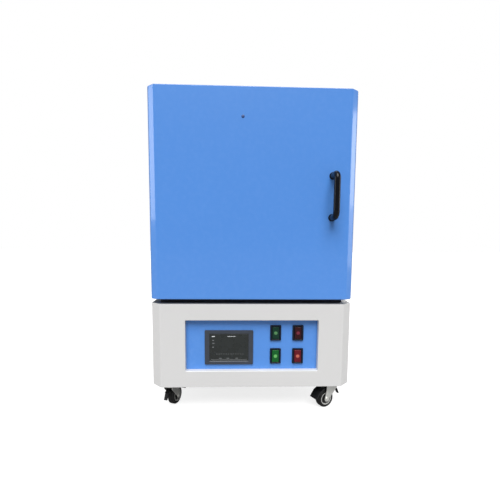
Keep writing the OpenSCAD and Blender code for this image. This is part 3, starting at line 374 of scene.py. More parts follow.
# Upper buttons: darker lenses and lamps, painted shade of the window rim. Lower buttons: brighter copies, painted
# light, the lenses with a faint painted glow
greenLens = lensMaterial("greenLens", (0.0015, 0.028, 0.016), (0.01, 0.06, 0.03))
redLens = lensMaterial("redLens", (0.028, 0.0015, 0.003), (0.06, 0.01, 0.012))
greenLensPaintedLight = lensMaterial("greenLensPaintedLight", (0.002, 0.090, 0.014), (0.015, 0.12, 0.03), 0.1)
redLensPaintedLight = lensMaterial("redLensPaintedLight", (0.110, 0.004, 0.010), (0.14, 0.02, 0.02), 0.1)
greenLamp = lensMaterial("greenLamp", (0.075, 0.22, 0.085), (0.12, 0.3, 0.12))
redLamp = lensMaterial("redLamp", (0.17, 0.022, 0.040), (0.22, 0.06, 0.07))
greenLampLit = lensMaterial("greenLampLit", (0.12, 0.42, 0.11), (0.3, 0.6, 0.3))
redLampLit = lensMaterial("redLampLit", (0.50, 0.12, 0.08), (0.6, 0.3, 0.2))
plugBlue = mouldedMaterial("plugBlue", {"colour": (0.016, 0.055, 0.200), "dustColour": (0.06, 0.12, 0.3),
    "grainSize": 1500.0, "grainDepth": 0.01 * mm, "roughness": 0.4, "dust": 0.1, "coat": 0.1})
tyreRubber = mouldedMaterial("tyreRubber", {"colour": (0.004, 0.004, 0.0045),
    "dustColour": (0.035, 0.034, 0.032), "grainSize": 900.0, "grainDepth": 0.03 * mm, "roughness": 0.5,
    "dust": 0.2, "coat": 0.0, "specular": 0.3})
wheelPlastic = mouldedMaterial("wheelPlastic", {"colour": (0.016, 0.016, 0.017),
    "dustColour": (0.08, 0.08, 0.075), "grainSize": 1200.0, "grainDepth": 0.01 * mm, "roughness": 0.5,
    "dust": 0.12, "coat": 0.0, "specular": 0.3})
print("materials made:", len(bpy.data.materials))


# Modelling helpers

touching = 0.05 * mm  # Closer than this counts as in line
seam = 0.01 * mm  # Ends that meet are merged over this much
poleGap = 0.001 * mm
slope = 0.05 * mm  # Loops in one plane can't be paired, so a flat rim falls by this much
copyLook = {"weld": 0.005 * mm, "flat": 0.5, "sharp": 30, "sliver": 0.001 * mm}


def only(parts, kind):
    return [part for part in parts if isinstance(part, kind)]


def boxed(bm, low, high):
    made = bmesh.ops.create_cube(bm, size=1.0)["verts"]
    bmesh.ops.scale(bm, vec=Vector(high) - Vector(low), verts=made)
    bmesh.ops.translate(bm, vec=(Vector(high) + Vector(low)) / 2, verts=made)


def inLine(part, axis, place):
    # Whether a face or an edge lies at one place along an axis, 0 to 2
    return all(abs(vert.co[axis] - place) < touching for vert in part.verts)


def facesAt(bm, axis, place):
    return [face for face in bm.faces if inLine(face, axis, place)]


def uprights(bm, y):
    # The edges along Z at a place along Y
    return [edge for edge in bm.edges if inLine(edge, 1, y)
            and edge.calc_length() < 1.001 * abs(edge.verts[1].co.z - edge.verts[0].co.z)]


def openEdges(bm):
    return [edge for edge in bm.edges if edge.is_boundary]


def bevelled(bm, geom, width, segments=3, affect="EDGES"):
    bmesh.ops.bevel(bm, geom=geom, offset=width, offset_type="OFFSET", segments=segments, profile=0.5,
        affect=affect, clamp_overlap=True, material=-1)


def drawnOut(bm, edges, vec):
    # Extrudes edges by a vector and gives back the new ones
    made = bmesh.ops.extrude_edge_only(bm, edges=edges)["geom"]
    bmesh.ops.translate(bm, vec=vec, verts=only(made, bmesh.types.BMVert))
    return only(made, bmesh.types.BMEdge)


def facingOut(bm):
    bmesh.ops.recalc_face_normals(bm, faces=bm.faces)


def moved(bm, matrix, verts=None):
    bmesh.ops.transform(bm, matrix=matrix, verts=verts or bm.verts)


def placed(point, quarter, axis):
    # A move to the point after a quarter turn, forwards or back, about an axis
    return Matrix.Translation(point) @ Matrix.Rotation(quarter * math.pi / 2, 4, axis)


def joinInto(bm, other):
    # Adds another bmesh to this one
    carrier = bpy.data.meshes.new("carrier")
    other.to_mesh(carrier)
    other.free()
    bm.from_mesh(carrier)
    bpy.data.meshes.remove(carrier)


def roundedLoop(centre, station, segments):
    # Round-cornered rectangle that faces -Y: its width, height, corner radius and place along Y
    width, height, radius, y = station
    bm = bmesh.new()
    bmesh.ops.create_grid(bm, x_segments=1, y_segments=1, size=0.5)
    bmesh.ops.scale(bm, vec=(width, height, 1), verts=bm.verts)
    moved(bm, placed((centre.x, y, centre.z), 1, "X"))
    bevelled(bm, list(bm.verts), radius, segments, "VERTICES")
    return bm


def stepped(bm, centre, stations, segments=4):
    # Closed shape through round-cornered rectangles, one after another, with a face at each end
    faces = []
    for station in stations:
        before = set(bm.faces)
        joinInto(bm, roundedLoop(centre, station, segments))
        faces.append([face for face in bm.faces if face not in before][0])
    loops = [list(face.edges) for face in faces]
    for first, second in zip(loops[:-1], loops[1:]):
        bmesh.ops.bridge_loops(bm, edges=first + second)
    bmesh.ops.delete(bm, geom=faces[1:-1], context="FACES_ONLY")


def rimmed(width, height, corner, rim, back, face):
    # Stations of a block with a rounded front edge, from its back to its face
    soft = 0.3 * rim
    return [(width, height, corner, back), (width, height, corner, face + rim),
        (width - 2 * soft, height - 2 * soft, corner - soft, face + soft),
        (width - 2 * rim, height - 2 * rim, corner - rim, face)]


def turned(profile, steps, matrix, closed=False):
    # Spins a profile of (along X, radius) points about the X axis, then puts it in its place
    bm = bmesh.new()
    verts = [bm.verts.new((along, 0.0, radius)) for along, radius in profile]
    ends = verts[1:] + verts[:1] if closed else verts[1:]
    edges = [bm.edges.new(pair) for pair in zip(verts, ends)]
    bmesh.ops.spin(bm, geom=verts + edges, cent=(0, 0, 0), axis=(1, 0, 0), angle=2 * math.pi,
        steps=steps, use_merge=True)
    bmesh.ops.remove_doubles(bm, verts=bm.verts, dist=poleGap)
    facingOut(bm)
    moved(bm, matrix)
    return bm


def mirrored(side):
    # The other half of a profile, in the order that closes it
    return [(-along, radius) for along, radius in reversed(side)]


def newObject(name, data):
    made = bpy.data.objects.new(name, data)
    scene.collection.objects.link(made)
    return made


def placePiece(name, bm, material, body, replaced=(), angle=35, modifiers=()):
    mesh = bpy.data.meshes.new(name)
    bm.to_mesh(mesh)
    bm.free()
    mesh.materials.append(material)
    for face in mesh.polygons:
        face.use_smooth = True
    mesh.set_sharp_from_angle(angle=math.radians(angle))
    piece = newObject(name, mesh)
    for kind, values in modifiers:
        modifier = piece.modifiers.new(kind.lower(), kind)
        for key, value in values.items():
            setattr(modifier, key, value)
    weighted = piece.modifiers.new("weightedNormals", "WEIGHTED_NORMAL")
    weighted.keep_sharp = True
    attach(piece, body)
    if replaced:
        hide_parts(*replaced)


def pieceName(node):
    words = node.split("_")
    return words[0] + "".join(word.capitalize() for word in words[1:])


def placeNode(node, bm, material, angle=35, modifiers=()):
    # A piece that stands in for one node, with the node's body
    placePiece(pieceName(node), bm, material, bodyOf[node], (node,), angle, modifiers)


def copyOf(node, look):
    # The node's shape with its loose triangles merged and its flat faces whole
    bm = bmesh.new()
    bm.from_mesh(frame["nodes"][node].data)
    bmesh.ops.remove_doubles(bm, verts=bm.verts, dist=look["weld"])
    bmesh.ops.dissolve_limit(bm, angle_limit=math.radians(look["flat"]), use_dissolve_boundaries=False,
        verts=bm.verts, edges=bm.edges, delimit=set())
    return bm


def softened(node, material, width, segments=2, look=copyLook):
    # The node with its sharp edges broken, as folded, cast or ground pieces have them
    bm = copyOf(node, look)
    if width:
        sharp = [edge for edge in bm.edges if len(edge.link_faces) == 2
                 and edge.calc_face_angle(0.0) > math.radians(look["sharp"])]
        bevelled(bm, sharp, width, segments)
        bmesh.ops.dissolve_degenerate(bm, dist=look["sliver"], edges=bm.edges)
    placeNode(node, bm, material)


def dressed(node, material):
    mesh = frame["nodes"][node].data
    mesh.materials.clear()
    mesh.materials.append(material)


# Camera at the photograph's place, and the room

cameraLook = {"place": (-57.7 * mm, -1691.8 * mm, 673.6 * mm), "pitch": -0.0978, "yaw": -0.0359,
    "roll": 0.0079, "lens": 24.48, "sensor": 36.0, "shiftY": 0.0552}


def makeCamera(look):
    data = bpy.data.cameras.new("camera")
    data.lens = look["lens"]
    data.sensor_width = look["sensor"]
    data.shift_y = look["shiftY"]
    camera = newObject("camera", data)
    turn = Matrix.Rotation(look["yaw"], 4, "Z") @ Matrix.Rotation(math.pi / 2 + look["pitch"], 4, "X")
    camera.matrix_world = Matrix.Translation(look["place"]) @ turn @ Matrix.Rotation(look["roll"], 4, "Z")
    scene.camera = camera


makeCamera(cameraLook)

roomLook = {"floorSize": 30.0, "floorColour": (0.34, 0.34, 0.34, 1.0), "floorRoughness": 0.9,
    "floorGlow": 0.80, "white": (1.0, 1.0, 1.0, 1.0), "air": 0.20, "backdrop": 1.0}


def makeFloor(look):
    bm = bmesh.new()
    bmesh.ops.create_grid(bm, x_segments=2, y_segments=2, size=look["floorSize"])
    mesh = bpy.data.meshes.new("floor")
    bm.to_mesh(mesh)
    bm.free()
    material, tree, shader = newMaterial("floorPaint")[:3]
    # The camera sees the floor paler than the part does, as a cut-out studio picture shows it
    seen = tree.nodes.new("ShaderNodeLightPath").outputs["Is Camera Ray"]
    glow = addMath(tree, "MULTIPLY", seen, look["floorGlow"])
    fillAll(tree, shader, {"Roughness": look["floorRoughness"], "Base Color": look["floorColour"],
        "Emission Color": look["white"], "Emission Strength": glow})
    mesh.materials.append(material)
    floor = newObject("floor", mesh)


def makeAir(look):
    # The room lights the part less than its white backdrop shows
    world = bpy.data.worlds.new("room")
    world.use_nodes = True
    tree = world.node_tree
    air = tree.nodes["Background"]
    backdrop = tree.nodes.new("ShaderNodeBackground")
    fillAll(tree, air, {"Color": look["white"], "Strength": look["air"]})
    fillAll(tree, backdrop, {"Color": look["white"], "Strength": look["backdrop"]})
    chosen = tree.nodes.new("ShaderNodeMixShader")
    fill(tree, chosen.inputs["Fac"], tree.nodes.new("ShaderNodeLightPath").outputs["Is Camera Ray"])
    fill(tree, chosen.inputs[1], air.outputs["Background"])
    fill(tree, chosen.inputs[2], backdrop.outputs["Background"])
    fill(tree, tree.nodes["World Output"].inputs["Surface"], chosen.outputs["Shader"])
    scene.world = world
    scene.view_settings.view_transform = "Standard"


makeFloor(roomLook)
makeAir(roomLook)

# The key is a broad light above the camera: it throws the window rim's shadow on the panel
lampLooks = {
    "leftBox": {"place": (-2.6, -0.5, 1.55), "target": (-0.2, -0.38, 1.0), "size": (0.9, 1.3), "power": 15.0},
    "rightBox": {"place": (2.6, -0.42, 1.5), "target": (0.2, -0.38, 0.95), "size": (0.8, 0.9), "power": 12.0},
    "lowRightBox": {"place": (2.6, -0.42, 0.75), "target": (0.2, -0.38, 0.7), "size": (0.8, 0.6),
        "power": 3.2},
    "rearBox": {"place": (0.6, 2.8, 1.8), "target": (0.0, 0.3, 0.8), "size": (2.2, 1.8), "power": 60.0},
    "key": {"place": (-0.1, -2.0, 3.2), "target": (0.0, -0.35, 0.9), "spread": 0.75, "power": 4.0},
}


def makeLamp(name, look):
    data = bpy.data.lights.new(name, "AREA" if "size" in look else "SUN")
    data.energy = look["power"]
    if "size" in look:
        data.shape = "RECTANGLE"
        data.size, data.size_y = look["size"]
    else:
        data.angle = look["spread"]
    lamp = newObject(name, data)
    aim = Vector(look["target"]) - Vector(look["place"])
    lamp.matrix_world = Matrix.Translation(look["place"]) @ aim.to_track_quat("-Z", "Y").to_matrix().to_4x4()


for name, look in lampLooks.items():
    makeLamp(name, look)
print("camera, room and lamps set")


# Folded sheet of the door and the base: a front with two cut corners, open at the back

def foldedPlan(bm, low, high, look):
    cutW, cutD = look["cutWidth"], look["cutDepth"]
    plan = [(low.x, high.y), (low.x, low.y + cutD), (low.x + cutW, low.y),
            (high.x - cutW, low.y), (high.x, low.y + cutD), (high.x, high.y)]
    face = bm.faces.new([bm.verts.new((x, y, low.z)) for x, y in plan])
    made = bmesh.ops.extrude_face_region(bm, geom=[face])["geom"]
    bmesh.ops.translate(bm, vec=(0, 0, high.z - low.z), verts=only(made, bmesh.types.BMVert))
    facingOut(bm)
    bevelled(bm, uprights(bm, low.y + cutD), look["sideBend"], 6)
    bevelled(bm, uprights(bm, low.y), look["faceBend"], 4)


doorLook = {"cutWidth": 29 * mm, "cutDepth": 21 * mm, "sheet": 2 * mm, "faceBend": 3 * mm,
    "sideBend": 10 * mm, "rimBend": 3 * mm}


def makeDoorShell(look):
    low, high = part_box("door_shell")
    bm = bmesh.new()
    foldedPlan(bm, low, high, look)
    rim = [edge for edge in bm.edges if not inLine(edge, 1, high.y)
           and (inLine(edge, 2, low.z) or inLine(edge, 2, high.z))]
    bevelled(bm, rim, look["rimBend"])
    bmesh.ops.delete(bm, geom=facesAt(bm, 1, high.y), context="FACES")
    placeNode("door_shell", bm, bluePaint, 30, [("SOLIDIFY", {"thickness": look["sheet"], "offset": -1.0})])


makeDoorShell(doorLook)

baseLook = {"cutWidth": 40 * mm, "cutDepth": 40 * mm, "sheet": 2 * mm, "faceBend": 4 * mm,
    "sideBend": 4 * mm, "windowLap": 12 * mm, "windowCorner": 4 * mm, "windowLip": 2.5 * mm,
    "windowDepth": 25 * mm, "rearReturn": 20 * mm, "rim": 0.7 * mm, "rimFrom": 60}


def makeBaseShell(look):
    low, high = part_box("base_shell")
    panelLow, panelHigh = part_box("control_panel")
    lap = look["windowLap"]
    left, right = panelLow.x + lap, panelHigh.x - lap
    bottom, top = panelLow.z + lap, panelHigh.z - lap
    bm = bmesh.new()
    foldedPlan(bm, low, high, look)
    for axis, place in ((2, low.z), (2, high.z), (1, high.y)):
        bmesh.ops.delete(bm, geom=facesAt(bm, axis, place), context="FACES")
    # The window: a round-cornered loop in the front face, drawn back to the panel
    front = facesAt(bm, 1, low.y)
    border = list(front[0].edges)
    bmesh.ops.delete(bm, geom=front, context="FACES_ONLY")
    corners = [bm.verts.new((x, low.y, z)) for x, z in
        ((left, bottom), (right, bottom), (right, top), (left, top))]
    bm.faces.new(corners)
    bevelled(bm, corners, look["windowCorner"], 5, "VERTICES")
    opening = facesAt(bm, 1, low.y)
    loop = list(opening[0].edges)
    bmesh.ops.delete(bm, geom=opening, context="FACES_ONLY")
    bmesh.ops.triangle_fill(bm, use_beauty=True, use_dissolve=False, edges=border + loop, normal=(0, -1, 0))
    drawnOut(bm, loop, (0, look["windowDepth"], 0))
    facingOut(bm)
    bevelled(bm, loop, look["windowLip"])
    # Returns that the rear panel is screwed to
    for edge in [edge for edge in openEdges(bm) if inLine(edge, 1, high.y)]:
        inward = look["rearReturn"] if edge.verts[0].co.x < 0 else -look["rearReturn"]
        drawnOut(bm, [edge], (inward, 0, 0))
    ahead = [face for face in bm.faces if face.calc_center_median().y < low.y + look["sheet"] / 2]
    if ahead[0].normal.y > 0:
        bmesh.ops.reverse_faces(bm, faces=bm.faces)
    placeNode("base_shell", bm, whitePaint, 30, [("SOLIDIFY", {"thickness": look["sheet"], "offset": -1.0}),
        ("BEVEL", {"width": look["rim"], "segments": 2, "limit_method": "ANGLE",
            "angle_limit": math.radians(look["rimFrom"])})])


makeBaseShell(baseLook)
print("door and base shells folded")


# Handle: a bent bar on two flanges

handleLook = {"radius": 12 * mm, "bend": 22 * mm, "span": 158 * mm, "standoff": 60 * mm, "footT": 5 * mm,
    "sides": 40, "bendSteps": 12, "footR": 14.5 * mm, "footSteps": 48,
    "footEdge": ((0.55, 0), (0.8, 0.5 * mm), (1, 1.6 * mm))}  # shares of its thickness, and how far in


def makeHandle(look):
    low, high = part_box("door_handle")
    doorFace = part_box("door_shell")[0].y
    centre = (low + high) / 2
    top, bottom = centre.z + look["span"] / 2, centre.z - look["span"] / 2
    radius, bend, footT, footR = look["radius"], look["bend"], look["footT"], look["footR"]
    leg = look["standoff"] - bend - footT
    axisY = doorFace - look["standoff"] + bend
    bm = bmesh.new()

    def bendRound(edges, z):
        made = bmesh.ops.spin(bm, geom=edges, cent=(centre.x, axisY, z), axis=(1, 0, 0), angle=math.pi / 2,
            steps=look["bendSteps"], use_merge=False)["geom_last"]
        return only(made, bmesh.types.BMEdge)

    bmesh.ops.create_circle(bm, segments=look["sides"], radius=radius)
    moved(bm, placed((centre.x, doorFace - footT, top), 1, "X"))
    edges = drawnOut(bm, list(bm.edges), (0, -leg, 0))
    edges = drawnOut(bm, bendRound(edges, top - bend), (0, 0, -(look["span"] - 2 * bend)))
    drawnOut(bm, bendRound(edges, bottom + bend), (0, leg, 0))
    bmesh.ops.remove_doubles(bm, verts=bm.verts, dist=seam)
    bmesh.ops.holes_fill(bm, edges=openEdges(bm))
    facingOut(bm)
    placeNode("door_handle", bm, blackEnamel, 60)
    bm = bmesh.new()
    foot = [(0, 0), (0, footR)] + [(up * footT, footR - down) for up, down in look["footEdge"]] + [(footT, 0)]
    for z in (top, bottom):
        joinInto(bm, turned(foot, look["footSteps"], placed((centre.x, doorFace, z), -1, "Z")))
    placeNode("handle_feet", bm, blackEnamel, 40)


makeHandle(handleLook)

plugLook = {"radius": 6.2 * mm, "dome": 1.5 * mm, "stem": 3 * mm, "stemShare": 0.8, "steps": 40,
    "crown": ((0.5, 0.93), (0.85, 0.7), (1, 0.35), (1, 0))}


def makeHolePlug(look):
    low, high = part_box("door_hole_plug")
    radius, dome, stem, stemR = look["radius"], look["dome"], look["stem"], look["stemShare"] * look["radius"]
    crown = [(-up * dome, share * radius) for up, share in look["crown"]]
    bm = turned([(stem, 0), (stem, stemR), (0, stemR), (0, radius)] + crown, look["steps"],
        placed(((low.x + high.x) / 2, low.y + dome, (low.z + high.z) / 2), 1, "Z"))
    placeNode("door_hole_plug", bm, plugBlue, 50)


makeHolePlug(plugLook)
print("handle and hole plug made")


# Touch screen: a case with a stepped recess, the display and what it shows

screenLook = {"corner": 4 * mm, "rim": 1.6 * mm, "step": 3 * mm, "stepDepth": 1.4 * mm, "recess": 3 * mm,
    "front": 6 * mm, "innerCorner": 1.2 * mm, "gap": 0.3 * mm, "glassEdge": 0.3 * mm,
    "caseInset": (2 * mm, 6 * mm), "caseEdge": 1.5 * mm}


def makeScreen(look):
    low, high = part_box("screen_bezel")
    glassLow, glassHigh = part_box("screen_glass")
    centre = (low + high) / 2
    wide, tall = glassHigh.x - glassLow.x, glassHigh.z - glassLow.z
    step, inner, gap, edge = look["step"], look["innerCorner"], look["gap"], look["glassEdge"]
    bm = bmesh.new()
    stepped(bm, centre, rimmed(high.x - low.x, high.z - low.z, look["corner"], look["rim"],
        low.y + look["front"], low.y) + [
        (wide + 2 * step, tall + 2 * step, inner + step, low.y + slope),
        (wide + 2 * gap, tall + 2 * gap, inner, low.y + look["stepDepth"]),
        (wide + gap, tall + gap, inner, low.y + look["recess"])])
    case = bmesh.new()
    side, end = look["caseInset"]
    boxed(case, (glassLow.x + side, low.y + look["front"], glassLow.z + end),
        (glassHigh.x - side, high.y, glassHigh.z - end))
    bevelled(case, list(case.edges), look["caseEdge"], 2)
    joinInto(bm, case)
    facingOut(bm)
    placeNode("screen_bezel", bm, screenCase, 25)
    bm = bmesh.new()
    stepped(bm, centre, [(wide, tall, inner, glassHigh.y), (wide, tall, inner, glassLow.y + edge),
        (wide - 2 * edge, tall - 2 * edge, inner, glassLow.y)])
    facingOut(bm)
    placeNode("screen_glass", bm, screenFace, 25)
    return glassLow, glassHigh


# Bars on the display, in mm from its upper left corner: left, down, width and height
markLook = {"pale": [(9, 8, 12, 3.4)] + [(72 + i * 6.6, 8.5, 5, 2.2) for i in range(5)],
    "dim": [(11, 24, 7, 3), (11, 36, 9, 3), (11, 52, 7, 3)] + [(26 + i * 9.5, 81, 6, 1.1) for i in range(12)]
        + [(left, 98, 11, 2.4) for left in (38, 68, 104)] + [(6, 104, 143, 1.2)],
    "proud": 0.12 * mm, "sunk": 0.05 * mm}


def makeMarks(name, bars, material, glassLow, glassHigh, look):
    bm = bmesh.new()
    for left, down, width, height in bars:
        x, z = glassLow.x + left * mm, glassHigh.z - down * mm
        boxed(bm, (x, glassLow.y - look["proud"], z - height * mm),
            (x + width * mm, glassLow.y + look["sunk"], z))
    placePiece(name, bm, material, "cabinet")


glassLow, glassHigh = makeScreen(screenLook)
makeMarks("screenMarksPale", markLook["pale"], screenPale, glassLow, glassHigh, markLook)
makeMarks("screenMarksDim", markLook["dim"], screenDim, glassLow, glassHigh, markLook)
print("touch screen made")


# Push buttons: frames with a chamfered well, domed lenses and a lamp in each

buttonLook = {"width": 44 * mm, "height": 62 * mm, "corner": 3 * mm, "rim": 1.2 * mm, "chamfer": 2 * mm,
    "wellGap": 0.6 * mm, "wellDepth": 6 * mm, "wellCorners": (3.5 * mm, 2.8 * mm), "wellFrom": 0.8,
    "front": 7 * mm,
    "lensBack": 1.2 * mm, "lensCorner": 2.5 * mm, "lensRim": 1.4 * mm,
    "dome": ((0.62, 0.7, 3.5 * mm, 0.4), (0.3, 0.4, 3 * mm, 0.6)),
    "lampR": 7 * mm, "lampProud": 1.6 * mm, "lampSunk": 1.5 * mm, "lampSteps": 32,
    "lampDome": ((0.4, 1), (0.75, 0.8), (1, 0.4), (1, 0))}
# Upper pair with the painted-shade copies, lower pair with the painted-light copies
buttons = {"green_button_upper": (greenLens, greenLamp), "red_button_upper": (redLens, redLamp),
    "green_button_lower": (greenLensPaintedLight, greenLampLit), "red_button_lower": (redLensPaintedLight, redLampLit)}


def makeButtonFrames(look):
    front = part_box("button_frames")[0].y
    chamfer, gap = look["chamfer"], look["wellGap"]
    outer, inner = look["wellCorners"]
    bm = bmesh.new()
    for node in buttons:
        low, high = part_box(node)
        wide, tall = high.x - low.x + 2 * gap, high.z - low.z + 2 * gap
        stepped(bm, (low + high) / 2, rimmed(look["width"], look["height"], look["corner"], look["rim"],
            front + look["front"], front) + [
            (wide + 2 * chamfer, tall + 2 * chamfer, outer, front + slope),
            (wide, tall, inner, front + look["wellFrom"] * chamfer),
            (wide, tall, inner, front + look["wellDepth"])])
    facingOut(bm)
    placeNode("button_frames", bm, switchFrame, 25)


def makeButton(node, lens, lamp, look):
    low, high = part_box(node)
    centre = (low + high) / 2
    width, height, back = high.x - low.x, high.z - low.z, look["lensBack"]
    face = low.y + back
    bm = bmesh.new()
    stepped(bm, centre, rimmed(width, height, look["lensCorner"], look["lensRim"], high.y, face)
        + [(w * width, h * height, corner, face - up * back) for w, h, corner, up in look["dome"]])
    facingOut(bm)
    placeNode(node, bm, lens, 50)
    radius, sunk = look["lampR"], look["lampSunk"]
    dome = [(up * look["lampProud"], share * radius) for up, share in look["lampDome"]]
    bm = turned([(-sunk, 0), (-sunk, radius)] + dome, look["lampSteps"],
        placed((centre.x, face, centre.z), -1, "Z"))
    placePiece(pieceName(node).replace("Button", "Lamp"), bm, lamp, bodyOf[node])


makeButtonFrames(buttonLook)
for node, (lens, lamp) in buttons.items():
    makeButton(node, lens, lamp, buttonLook)
print("push buttons made")


# Casters. Each pair in a wheel's outline starts with a share of the tyre's half width

wheelLook = {"radius": 37.5 * mm, "half": 15 * mm, "rimR": 26.25 * mm, "grooveAt": 7 * mm,
    "grooveHalf": 0.8 * mm, "grooveDepth": 1.2 * mm, "grooveEdge": 0.3 * mm, "crown": 0.2 * mm, "steps": 72,
    "shoulder": ((0.72, 1.2 * mm), (0.86, 3 * mm), (0.97, 6 * mm), (1, 8.5 * mm)),  # depths below the tread
    "bead": ((0.95, 0.6 * mm), (0.9, -0.8 * mm)),  # heights above the rim
    "lip": ((0.70, 0.84), (0.86, 0.85), (0.93, 0.88), (0.93, 0.96)), "lipEnd": (0.88, 0.6 * mm),
    "dish": ((0.5, 0.85), (0.68, 0.86), (0.68, 0.88)),  # here and in the lip, shares of the rim's radius
    "web": 4.5 * mm, "webRs": (0.76, 0.6),
    "boreR": 5.05 * mm, "hubR": 11 * mm, "hubHalf": 16.7 * mm, "hubSteps": 60,
    "hubRound": ((0.8 * mm, 0.6 * mm), (0, 1.4 * mm)), "fillet": 1.5 * mm}


casterLook = {"forkEdge": 0.9 * mm, "pedalEdge": 1.1 * mm, "plateEdge": 0.6 * mm}


def atWheel(key):
    roll = jointOf["roll_" + key]
    turn = math.atan2(roll["axis"][1], roll["axis"][0])
    return Matrix.Translation(roll["pos_m"]) @ Matrix.Rotation(turn, 4, "Z")


def tyreSide(look):
    # Half of the tyre's outline, from the middle of the tread to the bead
    r, half, rim, at, w = look["radius"], look["half"], look["rimR"], look["grooveAt"], look["grooveHalf"]
    floor, edge = r - look["grooveDepth"], look["grooveEdge"]
    return [(at - w - edge, r), (at - w, floor), (at + w, floor), (at + w + edge, r - look["crown"])] \
        + [(share * half, r - down) for share, down in look["shoulder"]] \
        + [(share * half, rim + up) for share, up in look["bead"]]


def lipSide(look):
    half, rim = look["half"], look["rimR"]
    share, down = look["lipEnd"]
    return [(out * half, high * rim) for out, high in look["lip"]] + [(share * half, rim - down)]


def hubSide(look):
    half, rim, hub, web, fillet = look["half"], look["rimR"], look["hubR"], look["web"], look["fillet"]
    rounding = [(look["hubHalf"] - back, hub - down) for back, down in reversed(look["hubRound"])]
    return [(look["hubHalf"], look["boreR"])] + rounding + [(web + fillet, hub), (web, hub + fillet)] \
        + [(web, high * rim) for high in reversed(look["webRs"])] \
        + [(out * half, high * rim) for out, high in look["dish"]]


def makeWheel(key, look):
    tyre, lip, hub = tyreSide(look), lipSide(look), hubSide(look)
    steps, hubSteps = look["steps"], look["hubSteps"]
    for name, profile, count, material, slotName, angle in (
            ("tyre_", mirrored(tyre) + tyre, steps, tyreRubber, "tyre", 50),
            ("rim_", lip + mirrored(lip), steps, rimSteel, "zinc", 40),
            ("hub_", hub + mirrored(hub), hubSteps, wheelPlastic, "tyre", 40)):
        bm = turned(profile, count, atWheel(key), closed=True)
        placePiece(name + key, bm, material, "wheel_" + key, ("caster_wheel_" + key,), angle)


for key in ("fl", "fr", "rl", "rr"):
    makeWheel(key, wheelLook)
    softened("caster_fork_" + key, zincPlate, casterLook["forkEdge"], 3)
for key in ("fl", "fr"):
    softened("caster_pedal_" + key, blackPlastic, casterLook["pedalEdge"], 3)
softened("caster_plates", zincPlate, casterLook["plateEdge"])
print("casters made")


# The other nodes: each finish, and in mm the width of each node's broken edges

edgeLook = [
    (bluePaint, {"outer_casing": 0.8, "top_cover": 0.7, "rear_cover": 0.5, "control_panel": 0.3}),
    (whitePaint, {"base_rear_panel": 0.5}),
    # The plinth gets the near-black painted shade
    (plinthPaintedShade, {"plinth": 1.0}),
    # The base top gets the dark grey painted shade
    (baseTopPaintedShade, {"base_top": 0.7}),
    (sheetSteel, {"front_frame": 1.0, "door_back_plate": 0.6, "base_frame": 0.8, "base_floor": 0.5}),
    (zincPlate, {"hinge_brackets": 0.6, "hinge_leaves": 0.6, "hinge_pins": 0.8, "fan_guard": 0}),
    (castAluminium, {"element_straps": 0.3, "power_controller": 0.5}),
    (laminateSteel, {"transformer": 1}),
    (elementGlaze, {"heating_elements": 0}),
    (fibreBoard, {"door_plug": 2.5, "mouth_lining": 3, "floor_lining": 2, "side_linings": 2,
        "back_lining": 1.5, "door_board": 1.5, "roof_lining": 1}),
    (hearthStone, {"hearth_plate": 1.5}),
    (steatite, {"thermocouple": 0, "element_clamps": 0.8}),
    (blackPlastic, {"catch_magnets": 1.0, "fan_housing": 0.8, "fan_rotor": 0, "cable_gland": 0.6}),
]

for material, widths in edgeLook:
    for node, width in widths.items():
        softened(node, material, width * mm)
dressed("inner_casing", sheetSteel)
print("body dressed")


# Door seal: four plaited strands of fibre yarn round a flat core

sealLook = {"strands": 4, "strandR": 2.3 * mm, "strandFlat": 1.25, "pitch": 44 * mm, "step": 3.2 * mm,
    "corner": 14 * mm, "sides": 8, "wide": 16 * mm, "coreHalf": 5.6 * mm, "coreDepth": 2.4 * mm}


def ringAt(angle):
    return Vector((math.cos(angle), 0, math.sin(angle)))


def roundedPath(centre, width, height, corner, step):
    # Points and outward directions round a rectangle in the XZ plane, a step apart
    points = []
    quarter = math.pi / 2
    for i in range(4):
        start = i * quarter
        out, along = ringAt(start), ringAt(start + quarter)
        length, reach = (height - 2 * corner, width / 2) if i % 2 == 0 else (width - 2 * corner, height / 2)
        count = max(2, round(length / step))
        points += [(centre + out * reach + along * (length * (j / count - 0.5)), out) for j in range(count)]
        pivot = centre + out * (reach - corner) + along * (length / 2)
        count = max(2, round(quarter * corner / step))
        bends = [ringAt(start + quarter * j / count) for j in range(count)]
        points += [(pivot + bent * corner, bent) for bent in bends]
    return points


def sealFrame(place, out, half, depth):
    # Turns a circle in the XY plane to stand across the seal's path
    return Matrix.Translation(place) @ Matrix((out * half, Vector((0, depth, 0)),
        out.cross(Vector((0, 1, 0))))).transposed().to_4x4()


def swept(bm, sides, frames):
    # Draws a ring round a closed path, with one extrusion for each place on it
    tube = bmesh.new()
    bmesh.ops.create_circle(tube, segments=sides, radius=1.0)
    edges = list(tube.edges)
    moved(tube, frames[0])
    for before, after in zip(frames, frames[1:] + frames[:1]):
        made = bmesh.ops.extrude_edge_only(tube, edges=edges)["geom"]
        edges = only(made, bmesh.types.BMEdge)
        moved(tube, after @ before.inverted(), only(made, bmesh.types.BMVert))
    bmesh.ops.remove_doubles(tube, verts=tube.verts, dist=seam)
    facingOut(tube)
    joinInto(bm, tube)


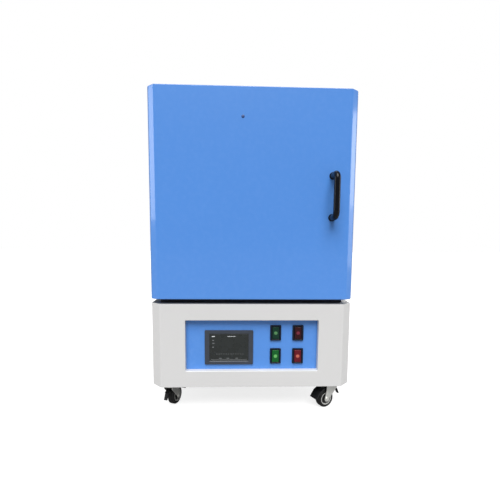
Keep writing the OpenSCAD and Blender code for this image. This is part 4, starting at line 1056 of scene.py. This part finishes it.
def makeSeal(look):
    low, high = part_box("door_seal")
    wide, r, flat = look["wide"], look["strandR"], look["strandFlat"]
    path = roundedPath((low + high) / 2, high.x - low.x - wide, high.z - low.z - wide, look["corner"],
        look["step"])
    turns = round(len(path) * look["step"] / look["pitch"])
    across, deep = wide / 2 - r * flat, (high.y - low.y) / 2 - r
    bm = bmesh.new()
    for strand in range(look["strands"]):
        frames = []
        for i, (place, out) in enumerate(path):
            phase = 2 * math.pi * (turns * i / len(path) + strand / look["strands"])
            middle = place + out * across * math.sin(phase) + Vector((0, deep * math.sin(2 * phase), 0))
            frames.append(sealFrame(middle, out, r * flat, r))
        swept(bm, look["sides"], frames)
    core = [sealFrame(place, out, look["coreHalf"], look["coreDepth"]) for place, out in path]
    swept(bm, look["sides"], core)
    placeNode("door_seal", bm, fibreBoard, 80)


makeSeal(sealLook)
print("door seal plaited")


# Screws of the rear panels: domed heads with a hexagonal socket

screwLook = {"sides": 24, "socket": 2.2 * mm, "socketEdge": 0.3 * mm, "socketDeep": 1.5 * mm, "shank": 0.45,
    "head": ((0, 1), (0.3, 1), (0.75, 0.84)), "brow": 0.6}


def islandsOf(node):
    # Boxes of the separate solids in a node
    bm = copyOf(node, copyLook)
    waiting, found = set(bm.verts), []
    while waiting:
        front = [waiting.pop()]
        group = list(front)
        while front:
            for edge in front.pop().link_edges:
                for vert in edge.verts:
                    if vert in waiting:
                        waiting.discard(vert)
                        front.append(vert)
                        group.append(vert)
        found.append([Vector([pick(vert.co[axis] for vert in group) for axis in range(3)])
            for pick in (min, max)])
    bm.free()
    return found


def makeScrews(look):
    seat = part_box("rear_cover")[1].y
    bm = bmesh.new()
    for low, high in islandsOf("cover_screws"):
        centre = (low + high) / 2
        r, tall, end = (high.x - low.x) / 2, high.y - seat, low.y - seat
        shank = look["shank"] * r
        head = [(up * tall, share * r) for up, share in look["head"]]
        head += [(tall - 2 * slope, look["brow"] * r), (tall, look["socket"] + look["socketEdge"])]
        screw = turned([(end, 0), (end, shank), (-slope, shank)] + head, look["sides"], Matrix())
        rim = openEdges(screw)
        others = set(screw.edges)
        corners = bmesh.ops.create_circle(screw, segments=6, radius=look["socket"])["verts"]
        moved(screw, placed((tall - slope, 0, 0), 1, "Y"), corners)
        socket = [edge for edge in screw.edges if edge not in others]
        bmesh.ops.bridge_loops(screw, edges=rim + socket)
        drawnOut(screw, socket, (-look["socketDeep"], 0, 0))
        bmesh.ops.holes_fill(screw, edges=openEdges(screw))
        facingOut(screw)
        moved(screw, placed((centre.x, seat, centre.z), 1, "Z"))
        joinInto(bm, screw)
    placeNode("cover_screws", bm, zincPlate, 40)


makeScrews(screwLook)
print("screws made")
